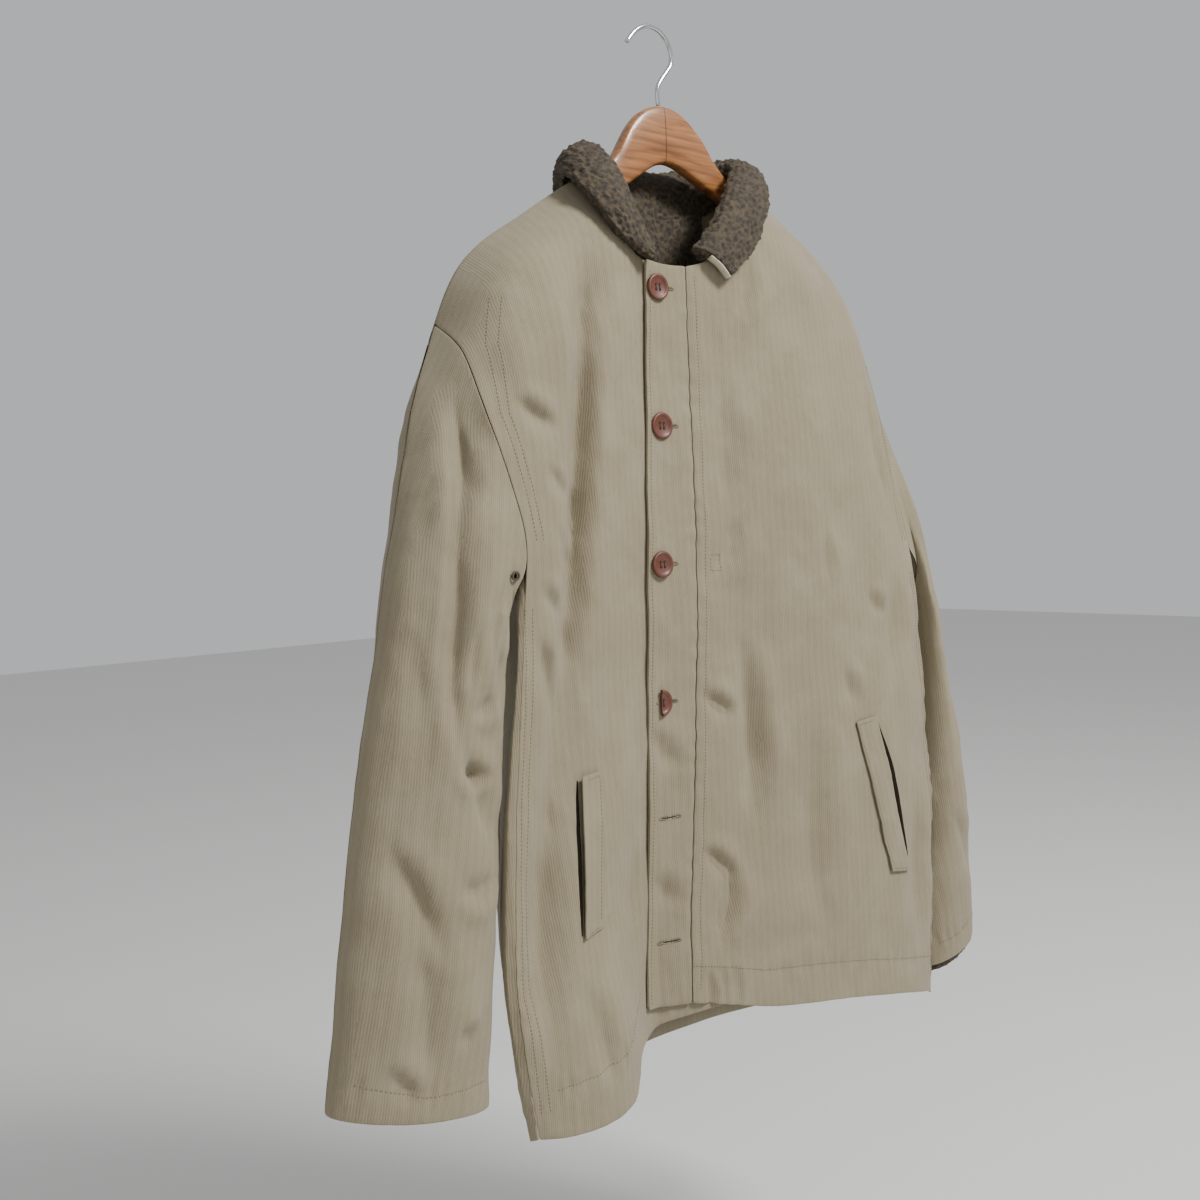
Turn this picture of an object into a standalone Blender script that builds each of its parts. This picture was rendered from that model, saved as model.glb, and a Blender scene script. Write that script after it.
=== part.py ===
"""Cotton deck jacket with a pile collar, hanging on a wooden hanger.

Metres, +Z up. The origin is the inside of the hook's crown, where a nail would bear.
The jacket faces -Y and its wearer's right side is at -X. The cloth is built as walls: the body
is one skin around which the back, the two fronts and the button band are cut, and each sleeve
is a bent tube that starts from the edge of its armhole.
"""
import functools
import math

import bmesh
import bpy
import numpy as np
from mathutils import Matrix, Vector

# Cloth
WALL = 0.002
SEAM_GAP = 0.0006
LAP = 0.0042
BAND_WALL = 0.0024

# Rows down a panel: those beside the armhole, then those beside the side seam, and the share of
# the panel's height that the armhole takes
ARMHOLE_ROWS = 10
SIDE_ROWS = 15
ARMPIT = 0.32

# Depth over which the cloth rolls from the shoulder seam to the front and to the back
ROLL_FRONT = 0.105
ROLL_BACK = 0.06

# The body's guide lines, in order round the body from the fly edge over the wearer's right
# side, the back and the left side to the stitched edge of the band. Rows: height, x, y
GUIDES = (
    ("fly", ((-0.100, -0.055, -0.036), (-0.220, -0.062, -0.040), (-0.370, -0.073, -0.046),
             (-0.460, -0.079, -0.049), (-0.590, -0.085, -0.049), (-0.690, -0.087, -0.046),
             (-0.795, -0.092, -0.044), (-0.930, -0.100, -0.046))),
    ("right_chest", ((-0.100, -0.120, -0.040), (-0.250, -0.140, -0.062), (-0.370, -0.150, -0.068),
                     (-0.480, -0.155, -0.070), (-0.600, -0.160, -0.072), (-0.750, -0.170, -0.084),
                     (-0.850, -0.168, -0.104), (-0.930, -0.166, -0.110))),
    ("right_seam", ((-0.100, -0.240, -0.060), (-0.277, -0.246, -0.068), (-0.354, -0.249, -0.078),
                    (-0.410, -0.237, -0.086), (-0.450, -0.229, -0.090), (-0.485, -0.232, -0.089),
                    (-0.570, -0.242, -0.090), (-0.700, -0.257, -0.095), (-0.785, -0.263, -0.099),
                    (-0.850, -0.257, -0.100), (-0.930, -0.245, -0.100))),
    ("right_side", ((-0.100, -0.243, -0.010), (-0.277, -0.247, -0.012), (-0.360, -0.252, -0.030),
                    (-0.420, -0.243, -0.048), (-0.485, -0.223, -0.058), (-0.540, -0.222, -0.062),
                    (-0.620, -0.240, -0.066), (-0.750, -0.256, -0.070), (-0.840, -0.247, -0.070),
                    (-0.930, -0.232, -0.070))),
    ("right_back", ((-0.100, -0.222, 0.022), (-0.277, -0.227, 0.022), (-0.360, -0.222, 0.020),
                    (-0.420, -0.208, 0.018), (-0.485, -0.190, 0.012), (-0.600, -0.184, 0.008),
                    (-0.750, -0.188, 0.005), (-0.930, -0.182, 0.000))),
    ("centre_back", ((-0.100, 0.015, 0.026), (-0.300, 0.015, 0.030), (-0.600, 0.020, 0.029),
                     (-0.930, 0.025, 0.024))),
    ("left_back", ((-0.100, 0.232, 0.022), (-0.277, 0.236, 0.022), (-0.360, 0.240, 0.020),
                   (-0.485, 0.244, 0.014), (-0.600, 0.250, 0.010), (-0.930, 0.244, 0.006))),
    ("left_side", ((-0.100, 0.252, -0.010), (-0.277, 0.256, -0.010), (-0.360, 0.268, -0.016),
                   (-0.420, 0.279, -0.018), (-0.485, 0.290, -0.020), (-0.600, 0.301, -0.020),
                   (-0.750, 0.307, -0.021), (-0.930, 0.300, -0.020))),
    ("left_seam", ((-0.100, 0.250, -0.026), (-0.277, 0.250, -0.030), (-0.360, 0.262, -0.036),
                   (-0.420, 0.264, -0.046), (-0.485, 0.276, -0.053), (-0.600, 0.290, -0.053),
                   (-0.750, 0.297, -0.054), (-0.930, 0.292, -0.052))),
    ("left_pocket", ((-0.100, 0.180, -0.040), (-0.277, 0.188, -0.050), (-0.400, 0.195, -0.064),
                     (-0.600, 0.205, -0.073), (-0.800, 0.212, -0.078), (-0.930, 0.212, -0.084))),
    ("left_chest", ((-0.100, 0.080, -0.044), (-0.277, 0.082, -0.054), (-0.400, 0.084, -0.061),
                    (-0.600, 0.086, -0.064), (-0.800, 0.088, -0.070), (-0.930, 0.090, -0.076))),
    ("stitch", ((-0.100, -0.012, -0.038), (-0.239, -0.018, -0.041), (-0.370, -0.022, -0.046),
                (-0.474, -0.026, -0.051), (-0.595, -0.034, -0.053), (-0.682, -0.041, -0.053),
                (-0.820, -0.050, -0.051), (-0.930, -0.054, -0.050))),
)
ROUND = len(GUIDES)

# The line of the shoulder seams, seen from the front. Columns: x, height
SHOULDER = ((-0.265, -0.320), (-0.246, -0.278), (-0.232, -0.245), (-0.212, -0.219),
            (-0.155, -0.180), (-0.100, -0.144), (-0.050, -0.116), (0.000, -0.104),
            (0.050, -0.106), (0.100, -0.126), (0.160, -0.158), (0.212, -0.194),
            (0.238, -0.232), (0.255, -0.276), (0.272, -0.330))
# Necklines, from the wearer's right neck point to the left one. Columns: x, height
NECK_FRONT = ((-0.100, -0.144), (-0.097, -0.168), (-0.088, -0.194), (-0.070, -0.213),
              (-0.045, -0.219), (-0.008, -0.217), (0.020, -0.206), (0.050, -0.181),
              (0.077, -0.151), (0.100, -0.126))
NECK_BACK = ((-0.100, -0.144), (-0.080, -0.151), (-0.040, -0.158), (0.020, -0.158),
             (0.070, -0.146), (0.100, -0.126))

# Hems, by guide number along the skin. Columns: place, height
HEM_RIGHT = ((-1.40, -0.872), (-1.0, -0.873), (-0.4, -0.877), (0.0, -0.885), (0.4, -0.890),
             (0.7, -0.896), (1.0, -0.898), (1.4, -0.901), (2.0, -0.896))
HEM_BAND = ((11.0, -0.861), (12.0, -0.857))
HEM_LEFT = ((8.0, -0.948), (9.0, -0.917), (9.6, -0.902), (10.0, -0.893), (10.4, -0.884),
            (10.7, -0.870), (11.0, -0.861))
HEM_BACK = ((2.0, -0.896), (3.0, -0.905), (4.0, -0.915), (5.0, -0.925), (6.0, -0.938),
            (7.0, -0.946), (8.0, -0.948))

# Sleeves, ring by ring from the armhole to the cuff. Columns: share of the length,
# outer edge x, y, height, inner edge x, y, height, half depth
SLEEVE_RIGHT = (
    (0.00, -0.248, -0.012, -0.276, -0.232, -0.062, -0.480, 0.056),
    (0.15, -0.280, -0.026, -0.338, -0.236, -0.066, -0.508, 0.050),
    (0.30, -0.309, -0.038, -0.420, -0.243, -0.070, -0.545, 0.044),
    (0.48, -0.336, -0.046, -0.522, -0.248, -0.072, -0.592, 0.039),
    (0.66, -0.360, -0.050, -0.624, -0.257, -0.076, -0.668, 0.037),
    (0.83, -0.380, -0.054, -0.730, -0.269, -0.078, -0.756, 0.036),
    (1.00, -0.399, -0.056, -0.842, -0.281, -0.080, -0.864, 0.030),
)
SLEEVE_LEFT = (
    (0.00, 0.256, -0.010, -0.280, 0.278, -0.030, -0.488, 0.036),
    (0.15, 0.276, -0.013, -0.348, 0.292, -0.028, -0.520, 0.038),
    (0.30, 0.302, -0.014, -0.432, 0.303, -0.026, -0.560, 0.038),
    (0.48, 0.333, -0.014, -0.540, 0.313, -0.024, -0.620, 0.037),
    (0.66, 0.366, -0.014, -0.650, 0.320, -0.022, -0.705, 0.035),
    (0.83, 0.394, -0.012, -0.770, 0.323, -0.020, -0.800, 0.033),
    (1.00, 0.412, -0.010, -0.912, 0.322, -0.018, -0.936, 0.026),
)
SLEEVE_ROWS = 17
# How far the underarm stands out from the body where the sleeve begins
UNDERARM = 0.009

# Creases on the body. Columns: name, side of the body, then top x and height, middle x and
# height, bottom x and height, depth (inward) and half width
CREASES = (
    ("right trough", "front", -0.132, -0.218, -0.172, -0.480, -0.236, -0.780, 0.016, 0.020),
    ("right ridge", "front", -0.160, -0.240, -0.178, -0.404, -0.205, -0.560, -0.006, 0.016),
    ("right shoulder fold", "front", -0.226, -0.236, -0.240, -0.300, -0.250, -0.372, 0.014, 0.012),
    ("left upper fold", "front", 0.018, -0.500, 0.031, -0.640, 0.018, -0.750, 0.007, 0.018),
    ("left lower fold", "front", 0.002, -0.735, -0.012, -0.785, -0.023, -0.830, 0.005, 0.012),
    ("left long roll", "front", 0.120, -0.300, 0.112, -0.480, 0.130, -0.700, -0.005, 0.030),
    ("left pocket fold", "front", 0.160, -0.430, 0.187, -0.512, 0.214, -0.575, 0.006, 0.018),
    ("back right fall", "back", -0.150, -0.260, -0.130, -0.500, -0.120, -0.900, 0.010, 0.030),
    ("back left fall", "back", 0.170, -0.240, 0.160, -0.500, 0.150, -0.900, 0.010, 0.030),
    ("back middle roll", "back", 0.020, -0.300, 0.010, -0.560, 0.030, -0.850, -0.006, 0.040),
)
# Creases on a sleeve. Columns: name, start share and turn, end share and turn (0 is the
# shoulder, 0.5 the armpit over the front), depth and half width in turns
SLEEVE_CREASES = (
    ("deep fold", 0.02, 0.14, 0.66, 0.41, 0.014, 0.060),
    ("outer fold", 0.02, 0.06, 0.30, 0.08, 0.006, 0.045),
    ("elbow fold", 0.55, 0.09, 0.86, 0.29, 0.005, 0.035),
    ("cuff fold", 0.86, 0.12, 0.96, 0.29, 0.004, 0.035),
    ("back elbow fold", 0.45, 0.79, 0.80, 0.65, 0.007, 0.040),
    ("back upper fold", 0.05, 0.84, 0.40, 0.75, 0.007, 0.040),
)

# Hanger
HOOK_ROD = 0.0046
WOOD_TOP = -0.067
HANGER_TILT = math.radians(4.6)
TILT_PIVOT = -0.085
# The drawing is moved sideways so that the inside of the hook's crown is the origin
HANG_SHIFT = 0.0068


def material(name, colour, roughness, metallic=0.0):
    mat = bpy.data.materials.new(name)
    mat.use_nodes = True
    shader = mat.node_tree.nodes["Principled BSDF"]
    shader.inputs["Base Color"].default_value = (*colour, 1.0)
    shader.inputs["Roughness"].default_value = roughness
    shader.inputs["Metallic"].default_value = metallic
    return mat


def smooth_at(places, values, at, cyclic=0):
    """Smooth curve through values at rising places; cyclic is the length of a closed round."""
    places, values = np.asarray(places, float), np.asarray(values, float)
    if cyclic:
        at = at % cyclic
        places = np.concatenate([places[-2:] - cyclic, places, places[:2] + cyclic])
        values = np.concatenate([values[-2:], values, values[:2]])
    at = min(max(at, places[0]), places[-1])
    i = int(min(max(np.searchsorted(places, at) - 1, 0), len(places) - 2))
    span = places[i + 1] - places[i]
    slopes = np.diff(values, axis=0) / np.diff(places).reshape((-1,) + (1,) * (values.ndim - 1))
    before = slopes[i] if i == 0 else (slopes[i - 1] + slopes[i]) / 2
    after = slopes[i] if i == len(slopes) - 1 else (slopes[i] + slopes[i + 1]) / 2
    t = (at - places[i]) / span
    return ((2 * t**3 - 3 * t**2 + 1) * values[i] + (t**3 - 2 * t**2 + t) * span * before
            + (3 * t**2 - 2 * t**3) * values[i + 1] + (t**3 - t**2) * span * after)


def from_table(table, at):
    rows = np.asarray(table, float)
    return smooth_at(rows[:, 0], rows[:, 1:], at)


def ease(t):
    t = min(max(t, 0.0), 1.0)
    return t * t * (3 - 2 * t)


def bump(distance, half_width):
    """A soft ridge: 1 on its line, 0 beyond its half width."""
    return ease(1 - abs(distance) / (1.6 * half_width))


@functools.lru_cache(maxsize=None)
def guide_points(height):
    """The x and y of every guide line at this height."""
    points = []
    for name, rows in GUIDES:
        table = np.asarray(rows)[::-1]
        points.append(smooth_at(table[:, 0], table[:, 1:], height))
    return np.array(points)


def shoulder_height(x):
    return float(from_table(SHOULDER, x)[0])


def crease_depth(side, x, height):
    """How far the cloth is pushed in (or out, when negative) at this spot of the body."""
    total = 0.0
    for name, face, x0, z0, x1, z1, x2, z2, depth, half_width in CREASES:
        if face == side and z2 - 0.04 < height < z0 + 0.03:
            line = from_table(((z2, x2), (z1, x1), (z0, x0)), height)[0]
            fade = ease((z0 + 0.03 - height) / 0.06) * ease((height - z2 + 0.04) / 0.08)
            total += depth * bump(x - line, half_width) * fade
    return total


def skin(place, height):
    """A point of the body's outer skin; place counts the guide lines round the body."""
    x, y = smooth_at(np.arange(ROUND), guide_points(height), place, cyclic=ROUND)
    drop = shoulder_height(x) - height
    t = min(max(drop / (ROLL_FRONT if y < 0 else ROLL_BACK), 0.0), 1.0)
    y *= math.sqrt(1 - (1 - t) ** 2)
    around = place % ROUND
    to_side = ease(abs(around - 2.0) / 0.25) * ease(abs(around - 8.0) / 0.25)
    start = ease(drop / 0.03) * to_side
    if 2 < around < 8:
        y -= crease_depth("back", x, height) * start
    else:
        y += crease_depth("front", x, height) * start
    return np.array((x, y, height))


def top_height(place, neckline):
    """Where this line of the skin meets the neckline or the shoulder seam."""
    height = -0.2
    for _ in range(25):
        guides = guide_points(height)
        x = smooth_at(np.arange(ROUND), guides, place, cyclic=ROUND)[0]
        inside = neckline[0][0] < x < neckline[-1][0]
        goal = float(from_table(neckline, x)[0]) if inside else shoulder_height(x)
        height += 0.6 * (goal - height)
    return height


def normal_of(point, u, v, side):
    step = 1e-3
    along = point(u + step, v) - point(u - step, v)
    down = point(u, v + step) - point(u, v - step)
    n = np.cross(along, down)
    return side * n / max(np.linalg.norm(n), 1e-12)


def lay(bm, nu, nv, outer, inward, thickness):
    """Bends a flat grid to the outer points and gives it a wall along the inward directions."""
    bmesh.ops.create_grid(bm, x_segments=nu, y_segments=nv, size=1.0)
    tag = bm.verts.layers.int.new("tag")
    for vert in bm.verts:
        i = round((vert.co.x + 1) / 2 * nu)
        j = round((vert.co.y + 1) / 2 * nv)
        vert[tag] = j * (nu + 1) + i
        vert.co = Vector(outer[i][j])
    made = bmesh.ops.extrude_face_region(bm, geom=bm.faces[:])
    for vert in made["geom"]:
        if isinstance(vert, bmesh.types.BMVert):
            j, i = divmod(vert[tag], nu + 1)
            vert.co += Vector(inward[i][j]) * thickness
    bmesh.ops.recalc_face_normals(bm, faces=bm.faces[:])


def finish(name, bm, mat, smooth=True):
    bmesh.ops.triangulate(bm, faces=bm.faces[:])
    mesh = bpy.data.meshes.new(name)
    bm.to_mesh(mesh)
    bm.free()
    if smooth:
        mesh.shade_smooth()
        mesh.set_sharp_from_angle(angle=math.radians(40))
    piece = bpy.data.objects.new(name, mesh)
    bpy.context.collection.objects.link(piece)
    piece.location.x = HANG_SHIFT
    mesh.materials.append(mat)
    return piece


def panel_point(inner, outer, neckline, hem, lift=None):
    """The surface of a body panel, by its share across (0 is its inner edge) and its share down."""
    ends = {}

    def edge(which, v):
        return which(v) if callable(which) else which

    def spot_of(u, v):
        place = edge(inner, v) + (edge(outer, v) - edge(inner, v)) * u
        key = round(place, 6)
        if key not in ends:
            ends[key] = (top_height(place, neckline), float(from_table(hem, place)[0]))
        top, bottom = ends[key]
        return place, top + (bottom - top) * v

    def on(place, height):
        here = skin(place, height)
        if lift:
            here[1] -= lift(place)
        return here

    def point(u, v):
        return on(*spot_of(u, v))

    def normal(u, v):
        place, height = spot_of(u, v)
        across = on(place + 0.01, height) - on(place - 0.01, height)
        down = on(place, height - 0.0015) - on(place, height)
        n = np.cross(across, down)
        return n / np.linalg.norm(n)

    point.normal = normal
    return point


def at_shoulder(here, inward, toward):
    """Sets a top corner of a body panel back from the shoulder seam, with an upright cut edge."""
    if abs(here[1]) > 2e-4:
        return here, inward
    here = np.array((here[0], toward * SEAM_GAP / 2, here[2]))
    inward = inward * np.array((1.0, 0.0, 1.0))
    return here, inward / np.linalg.norm(inward)


def build_wall(name, point, us, vs, thickness, mat, toward=0, start=None):
    """A sheet of cloth with its wall: toward is the way off the shoulder seam, and start holds
    the points and inward directions of the armhole's edge that a sleeve begins from."""
    outer = [[point(u, v) for v in vs] for u in us]
    inward = [[-point.normal(u, v) for v in vs] for u in us]
    if toward:
        for column, ways in zip(outer, inward):
            column[0], ways[0] = at_shoulder(column[0], ways[0], toward)
    if start:
        for column, ways, (here, way, away) in zip(outer, inward, start):
            column[0] = here + away * SEAM_GAP
            mitre = ways[0] + way * 0.3
            mitre -= away * min(mitre @ away, 0.0)
            ways[0] = mitre / np.linalg.norm(mitre)
        first, last = outer[0][0], outer[-1][0]
        inner_step = outer[1][0] - first
        outer[0][0] = first + inner_step / np.linalg.norm(inner_step) * SEAM_GAP * 1.5
        inner_step = outer[-2][0] - last
        outer[-1][0] = last + inner_step / np.linalg.norm(inner_step) * SEAM_GAP * 1.5
    bm = bmesh.new()
    lay(bm, len(us) - 1, len(vs) - 1, outer, inward, thickness)
    return finish(name, bm, mat)


def back_armhole(v):
    """How many guide places the back's armhole edge lies behind the front's."""
    t = min(max(v / ARMPIT, 0.0), 1.0)
    return (1.6 + 0.2 * ease(t / 0.3)) * math.sqrt(1 - t**3.5)


def lap_lift(place):
    """The wearer's left front lies over the right one, and falls back to the skin further out."""
    return LAP * ease((place - 8.9) / 1.6)


def armhole_edges(front, back, back_u):
    """The armhole's edge, down the front to the armpit and then up the back: points with the
    cloth's inward directions there and the ways off the cut edge into the hole."""
    shares = np.linspace(0, ARMPIT, ARMHOLE_ROWS + 1)
    down = [at_shoulder(front(1.0, v), -front.normal(1.0, v), -1) for v in shares]
    up = [at_shoulder(back(back_u, v), -back.normal(back_u, v), 1) for v in shares[::-1]]
    middle = np.mean([here for here, way in down + up], axis=0)
    sides = []
    for side in (down, up):
        line = np.array([here for here, way in side])
        run = np.gradient(line, axis=0)
        edges = []
        for (here, way), along in zip(side, run):
            away = np.cross(along, way)
            away /= np.linalg.norm(away)
            edges.append((here, way, away if away @ (middle - here) > 0 else -away))
        sides.append(edges)
    for front_end, back_end in ((-1, 0), (0, -1)):
        first, second = sides[0][front_end], sides[1][back_end]
        way, away = first[1] + second[1], first[2] + second[2]
        way, away = way / np.linalg.norm(way), away / np.linalg.norm(away)
        sides[0][front_end] = (first[0], way, away)
        sides[1][back_end] = (second[0], way, away)
    return sides


def sleeve_point(rings, loop, aside):
    """The surface of a sleeve, by its turn (0 shoulder, 0.5 armpit) and its share of the length;
    aside is the way in x by which the underarm stands clear of the body."""
    table = np.asarray(rings)
    turns = np.arange(len(loop)) / len(loop)

    def ellipse(turn, share):
        ring = smooth_at(table[:, 0], table[:, 1:], share)
        outer, inner, half_depth = ring[0:3], ring[3:6], ring[6]
        angle = 2 * math.pi * turn
        across = (outer - inner) / 2
        front = np.array((0.0, -1.0, 0.0))
        front = front - across * (front @ across) / (across @ across)
        front /= np.linalg.norm(front)
        return (outer + inner) / 2 + across * math.cos(angle) + front * half_depth * math.sin(angle)

    def point(turn, share):
        here = ellipse(turn, share)
        seam = smooth_at(turns, loop, turn, cyclic=1.0)
        here = here + (seam - ellipse(turn, 0.0)) * (1 - ease(share / 0.32))
        around = turn % 1.0
        under = ease((around - 0.30) / 0.14) * ease((1.0 - around) / 0.08)
        here[0] += aside * UNDERARM * under * ease(share / 0.058) * (1 - ease((share - 0.06) / 0.5))
        return here

    return point


def creased_sleeve(point, creases, side):
    def creased(turn, share):
        here = point(turn, share)
        push = 0.0
        for name, share0, turn0, share1, turn1, depth, half_width in creases:
            if share0 - 0.05 < share < share1 + 0.05:
                line = turn0 + (turn1 - turn0) * min(max((share - share0) / (share1 - share0), 0), 1)
                fade = ease((share - share0 + 0.05) / 0.12) * ease((share1 + 0.05 - share) / 0.12)
                away = (turn - line + 0.5) % 1.0 - 0.5
                push += depth * bump(away, half_width) * fade
        if abs(push) < 1e-7:
            return here
        centre = (point(0.0, share) + point(0.5, share)) / 2
        inward = centre - here
        return here + inward / np.linalg.norm(inward) * push * ease(share / 0.04)

    def normal(turn, share):
        """Outward; close to the armhole, where the tube is drawn askew, away from its middle."""
        middle = sum(point(quarter / 4, share) for quarter in range(4)) / 4
        away = creased(turn, share) - middle
        away /= np.linalg.norm(away)
        own = ease((share - 0.08) / 0.20)
        n = away * (1 - own) + normal_of(creased, turn, share, side) * own
        return n / np.linalg.norm(n)

    creased.normal = normal
    return creased


# Where the collar's stations lie on the neckline: 0 to 1 along the right front, 1 to 2 along the
# back and 2 to 3 along the left front. Columns: place, fold x, y, height, edge x, y, height,
# half width of the roll
COLLAR = (
    (0.000, -0.055, -0.0440, -0.2060, -0.060, -0.0500, -0.2190, 0.0048),
    (0.580, -0.073, -0.0460, -0.1820, -0.094, -0.0490, -0.2020, 0.0070),
    (0.860, -0.080, -0.0340, -0.1480, -0.112, -0.0440, -0.1790, 0.0100),
    (0.975, -0.087, -0.0100, -0.1165, -0.120, -0.0120, -0.1450, 0.0100),
    (1.050, -0.076, 0.0190, -0.1090, -0.096, 0.0320, -0.1440, 0.0100),
    (1.200, -0.052, 0.0360, -0.1050, -0.070, 0.0500, -0.1500, 0.0080),
    (1.400, -0.018, 0.0410, -0.1140, -0.022, 0.0570, -0.1600, 0.0080),
    (1.650, 0.030, 0.0410, -0.1140, 0.036, 0.0560, -0.1580, 0.0080),
    (1.850, 0.066, 0.0340, -0.1060, 0.080, 0.0480, -0.1450, 0.0080),
    (1.960, 0.091, 0.0160, -0.0990, 0.110, 0.0260, -0.1270, 0.0090),
    (2.020, 0.091, -0.0080, -0.1040, 0.107, -0.0180, -0.1250, 0.0085),
    (2.230, 0.062, -0.0300, -0.1310, 0.084, -0.0475, -0.1560, 0.0090),
    (2.550, 0.024, -0.0470, -0.1740, 0.057, -0.0565, -0.1970, 0.0070),
    (3.000, -0.006, -0.0510, -0.2050, 0.024, -0.0570, -0.2260, 0.0050),
)
COLLAR_HALF = 0.004
COLLAR_SPAN = 30
COLLAR_RISE = 9
COLLAR_RIGHT_END = -0.052


def place_of(x, height, low, high):
    """The place between two others where the skin has this x at this height."""
    rising = skin(high, height)[0] > skin(low, height)[0]
    for _ in range(24):
        middle = (low + high) / 2
        if (skin(middle, height)[0] < x) == rising:
            low = middle
        else:
            high = middle
    return (low + high) / 2


def spot(face, x, height):
    """A point of a front's or the back's outer skin seen straight on, and its outward normal."""
    low, high = {"right": (-1.4, 2.3), "back": (1.9, 8.1), "left": (7.7, 12.0)}[face]

    def on(x, height):
        place = place_of(x, height, low, high)
        here = skin(place, height)
        if face == "left":
            here[1] -= lap_lift(place)
        return here

    step = 1e-3
    here = on(x, height)
    across = on(x + step, height) - on(x - step, height)
    down = on(x, height - step) - here
    n = np.cross(across, down)
    n = n if face == "back" else -n
    facing = 1.0 if face == "back" else -1.0
    if n @ np.array((0.0, facing, 0.5)) < 0:
        n = -n
    return here, n / np.linalg.norm(n)


def neck_edge(place):
    """The neckline's own edge and the cloth's outward normal there."""
    if place < 1:
        face, x = "right", COLLAR_RIGHT_END + (-0.1 - COLLAR_RIGHT_END) * place
    elif place < 2:
        face, x = "back", -0.1 + 0.2 * (place - 1)
    else:
        face, x = "left", 0.1 - 0.1 * (place - 2)
    neckline = NECK_BACK if face == "back" else NECK_FRONT
    return spot(face, x, float(from_table(neckline, x)[0]))


@functools.lru_cache(maxsize=None)
def collar_seam(place):
    """The foot of the collar, in the middle of the cloth's wall, and the way up from there."""
    here, n = neck_edge(place)
    step = 0.01
    along = neck_edge(min(place + step, 3.0))[0] - neck_edge(max(place - step, 0.0))[0]
    up = np.cross(n, along)
    up /= np.linalg.norm(up)
    if up[2] < 0:
        up = -up
    return here - n * WALL / 2, up


def collar_point(along, across):
    """The middle surface of the collar: up its stand, over the fold and down its fall."""
    rows = np.asarray(COLLAR)
    row = smooth_at(np.arange(len(rows)), rows, along * (len(rows) - 1))
    foot, up = collar_seam(min(max(row[0], 0.0), 3.0))
    fold, edge, roll = row[1:4], row[4:7], row[7]
    seam = foot + up * 0.0026
    start = foot + up * 0.0080
    out = edge - seam
    out[2] = 0.0
    out /= np.linalg.norm(out)
    stand = fold - out * roll + (start - fold) * 0.35
    fall = fold + out * roll + (edge - fold) * 0.30
    ring = np.array((seam, start, stand, fold, fall, edge))
    return smooth_at((0.0, 0.10, 0.28, 0.44, 0.60, 1.0), ring, across)


def build_collar(mat):
    alongs = np.linspace(0, 1, COLLAR_SPAN + 1)
    acrosses = np.linspace(0, 1, COLLAR_RISE + 1)
    middle = [[collar_point(a, b) for b in acrosses] for a in alongs]
    across = [[normal_of(collar_point, a, b, 1) for b in acrosses] for a in alongs]
    outer = [[m - n * COLLAR_HALF for m, n in zip(ms, ns)] for ms, ns in zip(middle, across)]
    bm = bmesh.new()
    lay(bm, COLLAR_SPAN, COLLAR_RISE, outer, across, 2 * COLLAR_HALF)
    return finish("collar", bm, mat)


def build_collar_strip(mat):
    """The bound edge of the collar's left end, standing just off its end face."""
    shares = np.linspace(5, COLLAR_RISE, 5) / COLLAR_RISE
    away = [collar_point(1.0, b) - collar_point(0.995, b) for b in shares]
    away = [a / np.linalg.norm(a) for a in away]
    outer, inward = [], []
    for b, a in zip(shares, away):
        here = collar_point(1.0, b) + a * 0.0022
        n = normal_of(collar_point, 0.999, b, 1) * 0.0034
        outer.append([here - n, here + n])
        inward.append([-a, -a])
    bm = bmesh.new()
    lay(bm, len(shares) - 1, 1, outer, inward, 0.0016)
    return finish("collar_strip", bm, mat)


# Pocket welts, seen from the front. Columns: face, then x and height of the top's two corners
# and of the bottom's two corners, the side of the opening last
WELTS = {
    "pocket_welt_right": ("right", (-0.156, -0.636), (-0.179, -0.637), (-0.170, -0.758),
                          (-0.196, -0.759)),
    "pocket_welt_left": ("left", (0.153, -0.638), (0.184, -0.636), (0.197, -0.792),
                         (0.227, -0.797)),
}
WELT_WALL = 0.0016
WELT_LIFT = 0.0013


def build_welt(name, face, corners, mat):
    top_a, top_b, low_a, low_b = [np.array(corner) for corner in corners]
    outer, inward = [], []
    for u in np.linspace(0, 1, 4):
        column, normals = [], []
        for v in np.linspace(0, 1, 9):
            x, height = (top_a * (1 - u) + top_b * u) * (1 - v) + (low_a * (1 - u) + low_b * u) * v
            here, n = spot(face, x, height)
            column.append(here + n * (WELT_LIFT + WELT_WALL))
            normals.append(-n)
        outer.append(column)
        inward.append(normals)
    bm = bmesh.new()
    lay(bm, 3, 8, outer, inward, WELT_WALL)
    return finish(name, bm, mat)


LINING_WALL = 0.0035
LINING_GAP = 0.0022
LINING_BOTTOM = -0.222


def build_neck_lining(mat):
    """The pile lining that shows through the neck, laid inside the back."""
    outer, inward = [], []
    for x in np.linspace(-0.062, 0.066, 13):
        top = float(from_table(NECK_BACK, x)[0]) - 0.005
        column, normals = [], []
        for height in np.linspace(top, LINING_BOTTOM, 6):
            here, n = spot("back", x, height)
            column.append(here - n * (WALL + LINING_GAP))
            normals.append(-n)
        outer.append(column)
        inward.append(normals)
    bm = bmesh.new()
    lay(bm, 12, 5, outer, inward, LINING_WALL)
    return finish("neck_lining", bm, mat)


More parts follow.
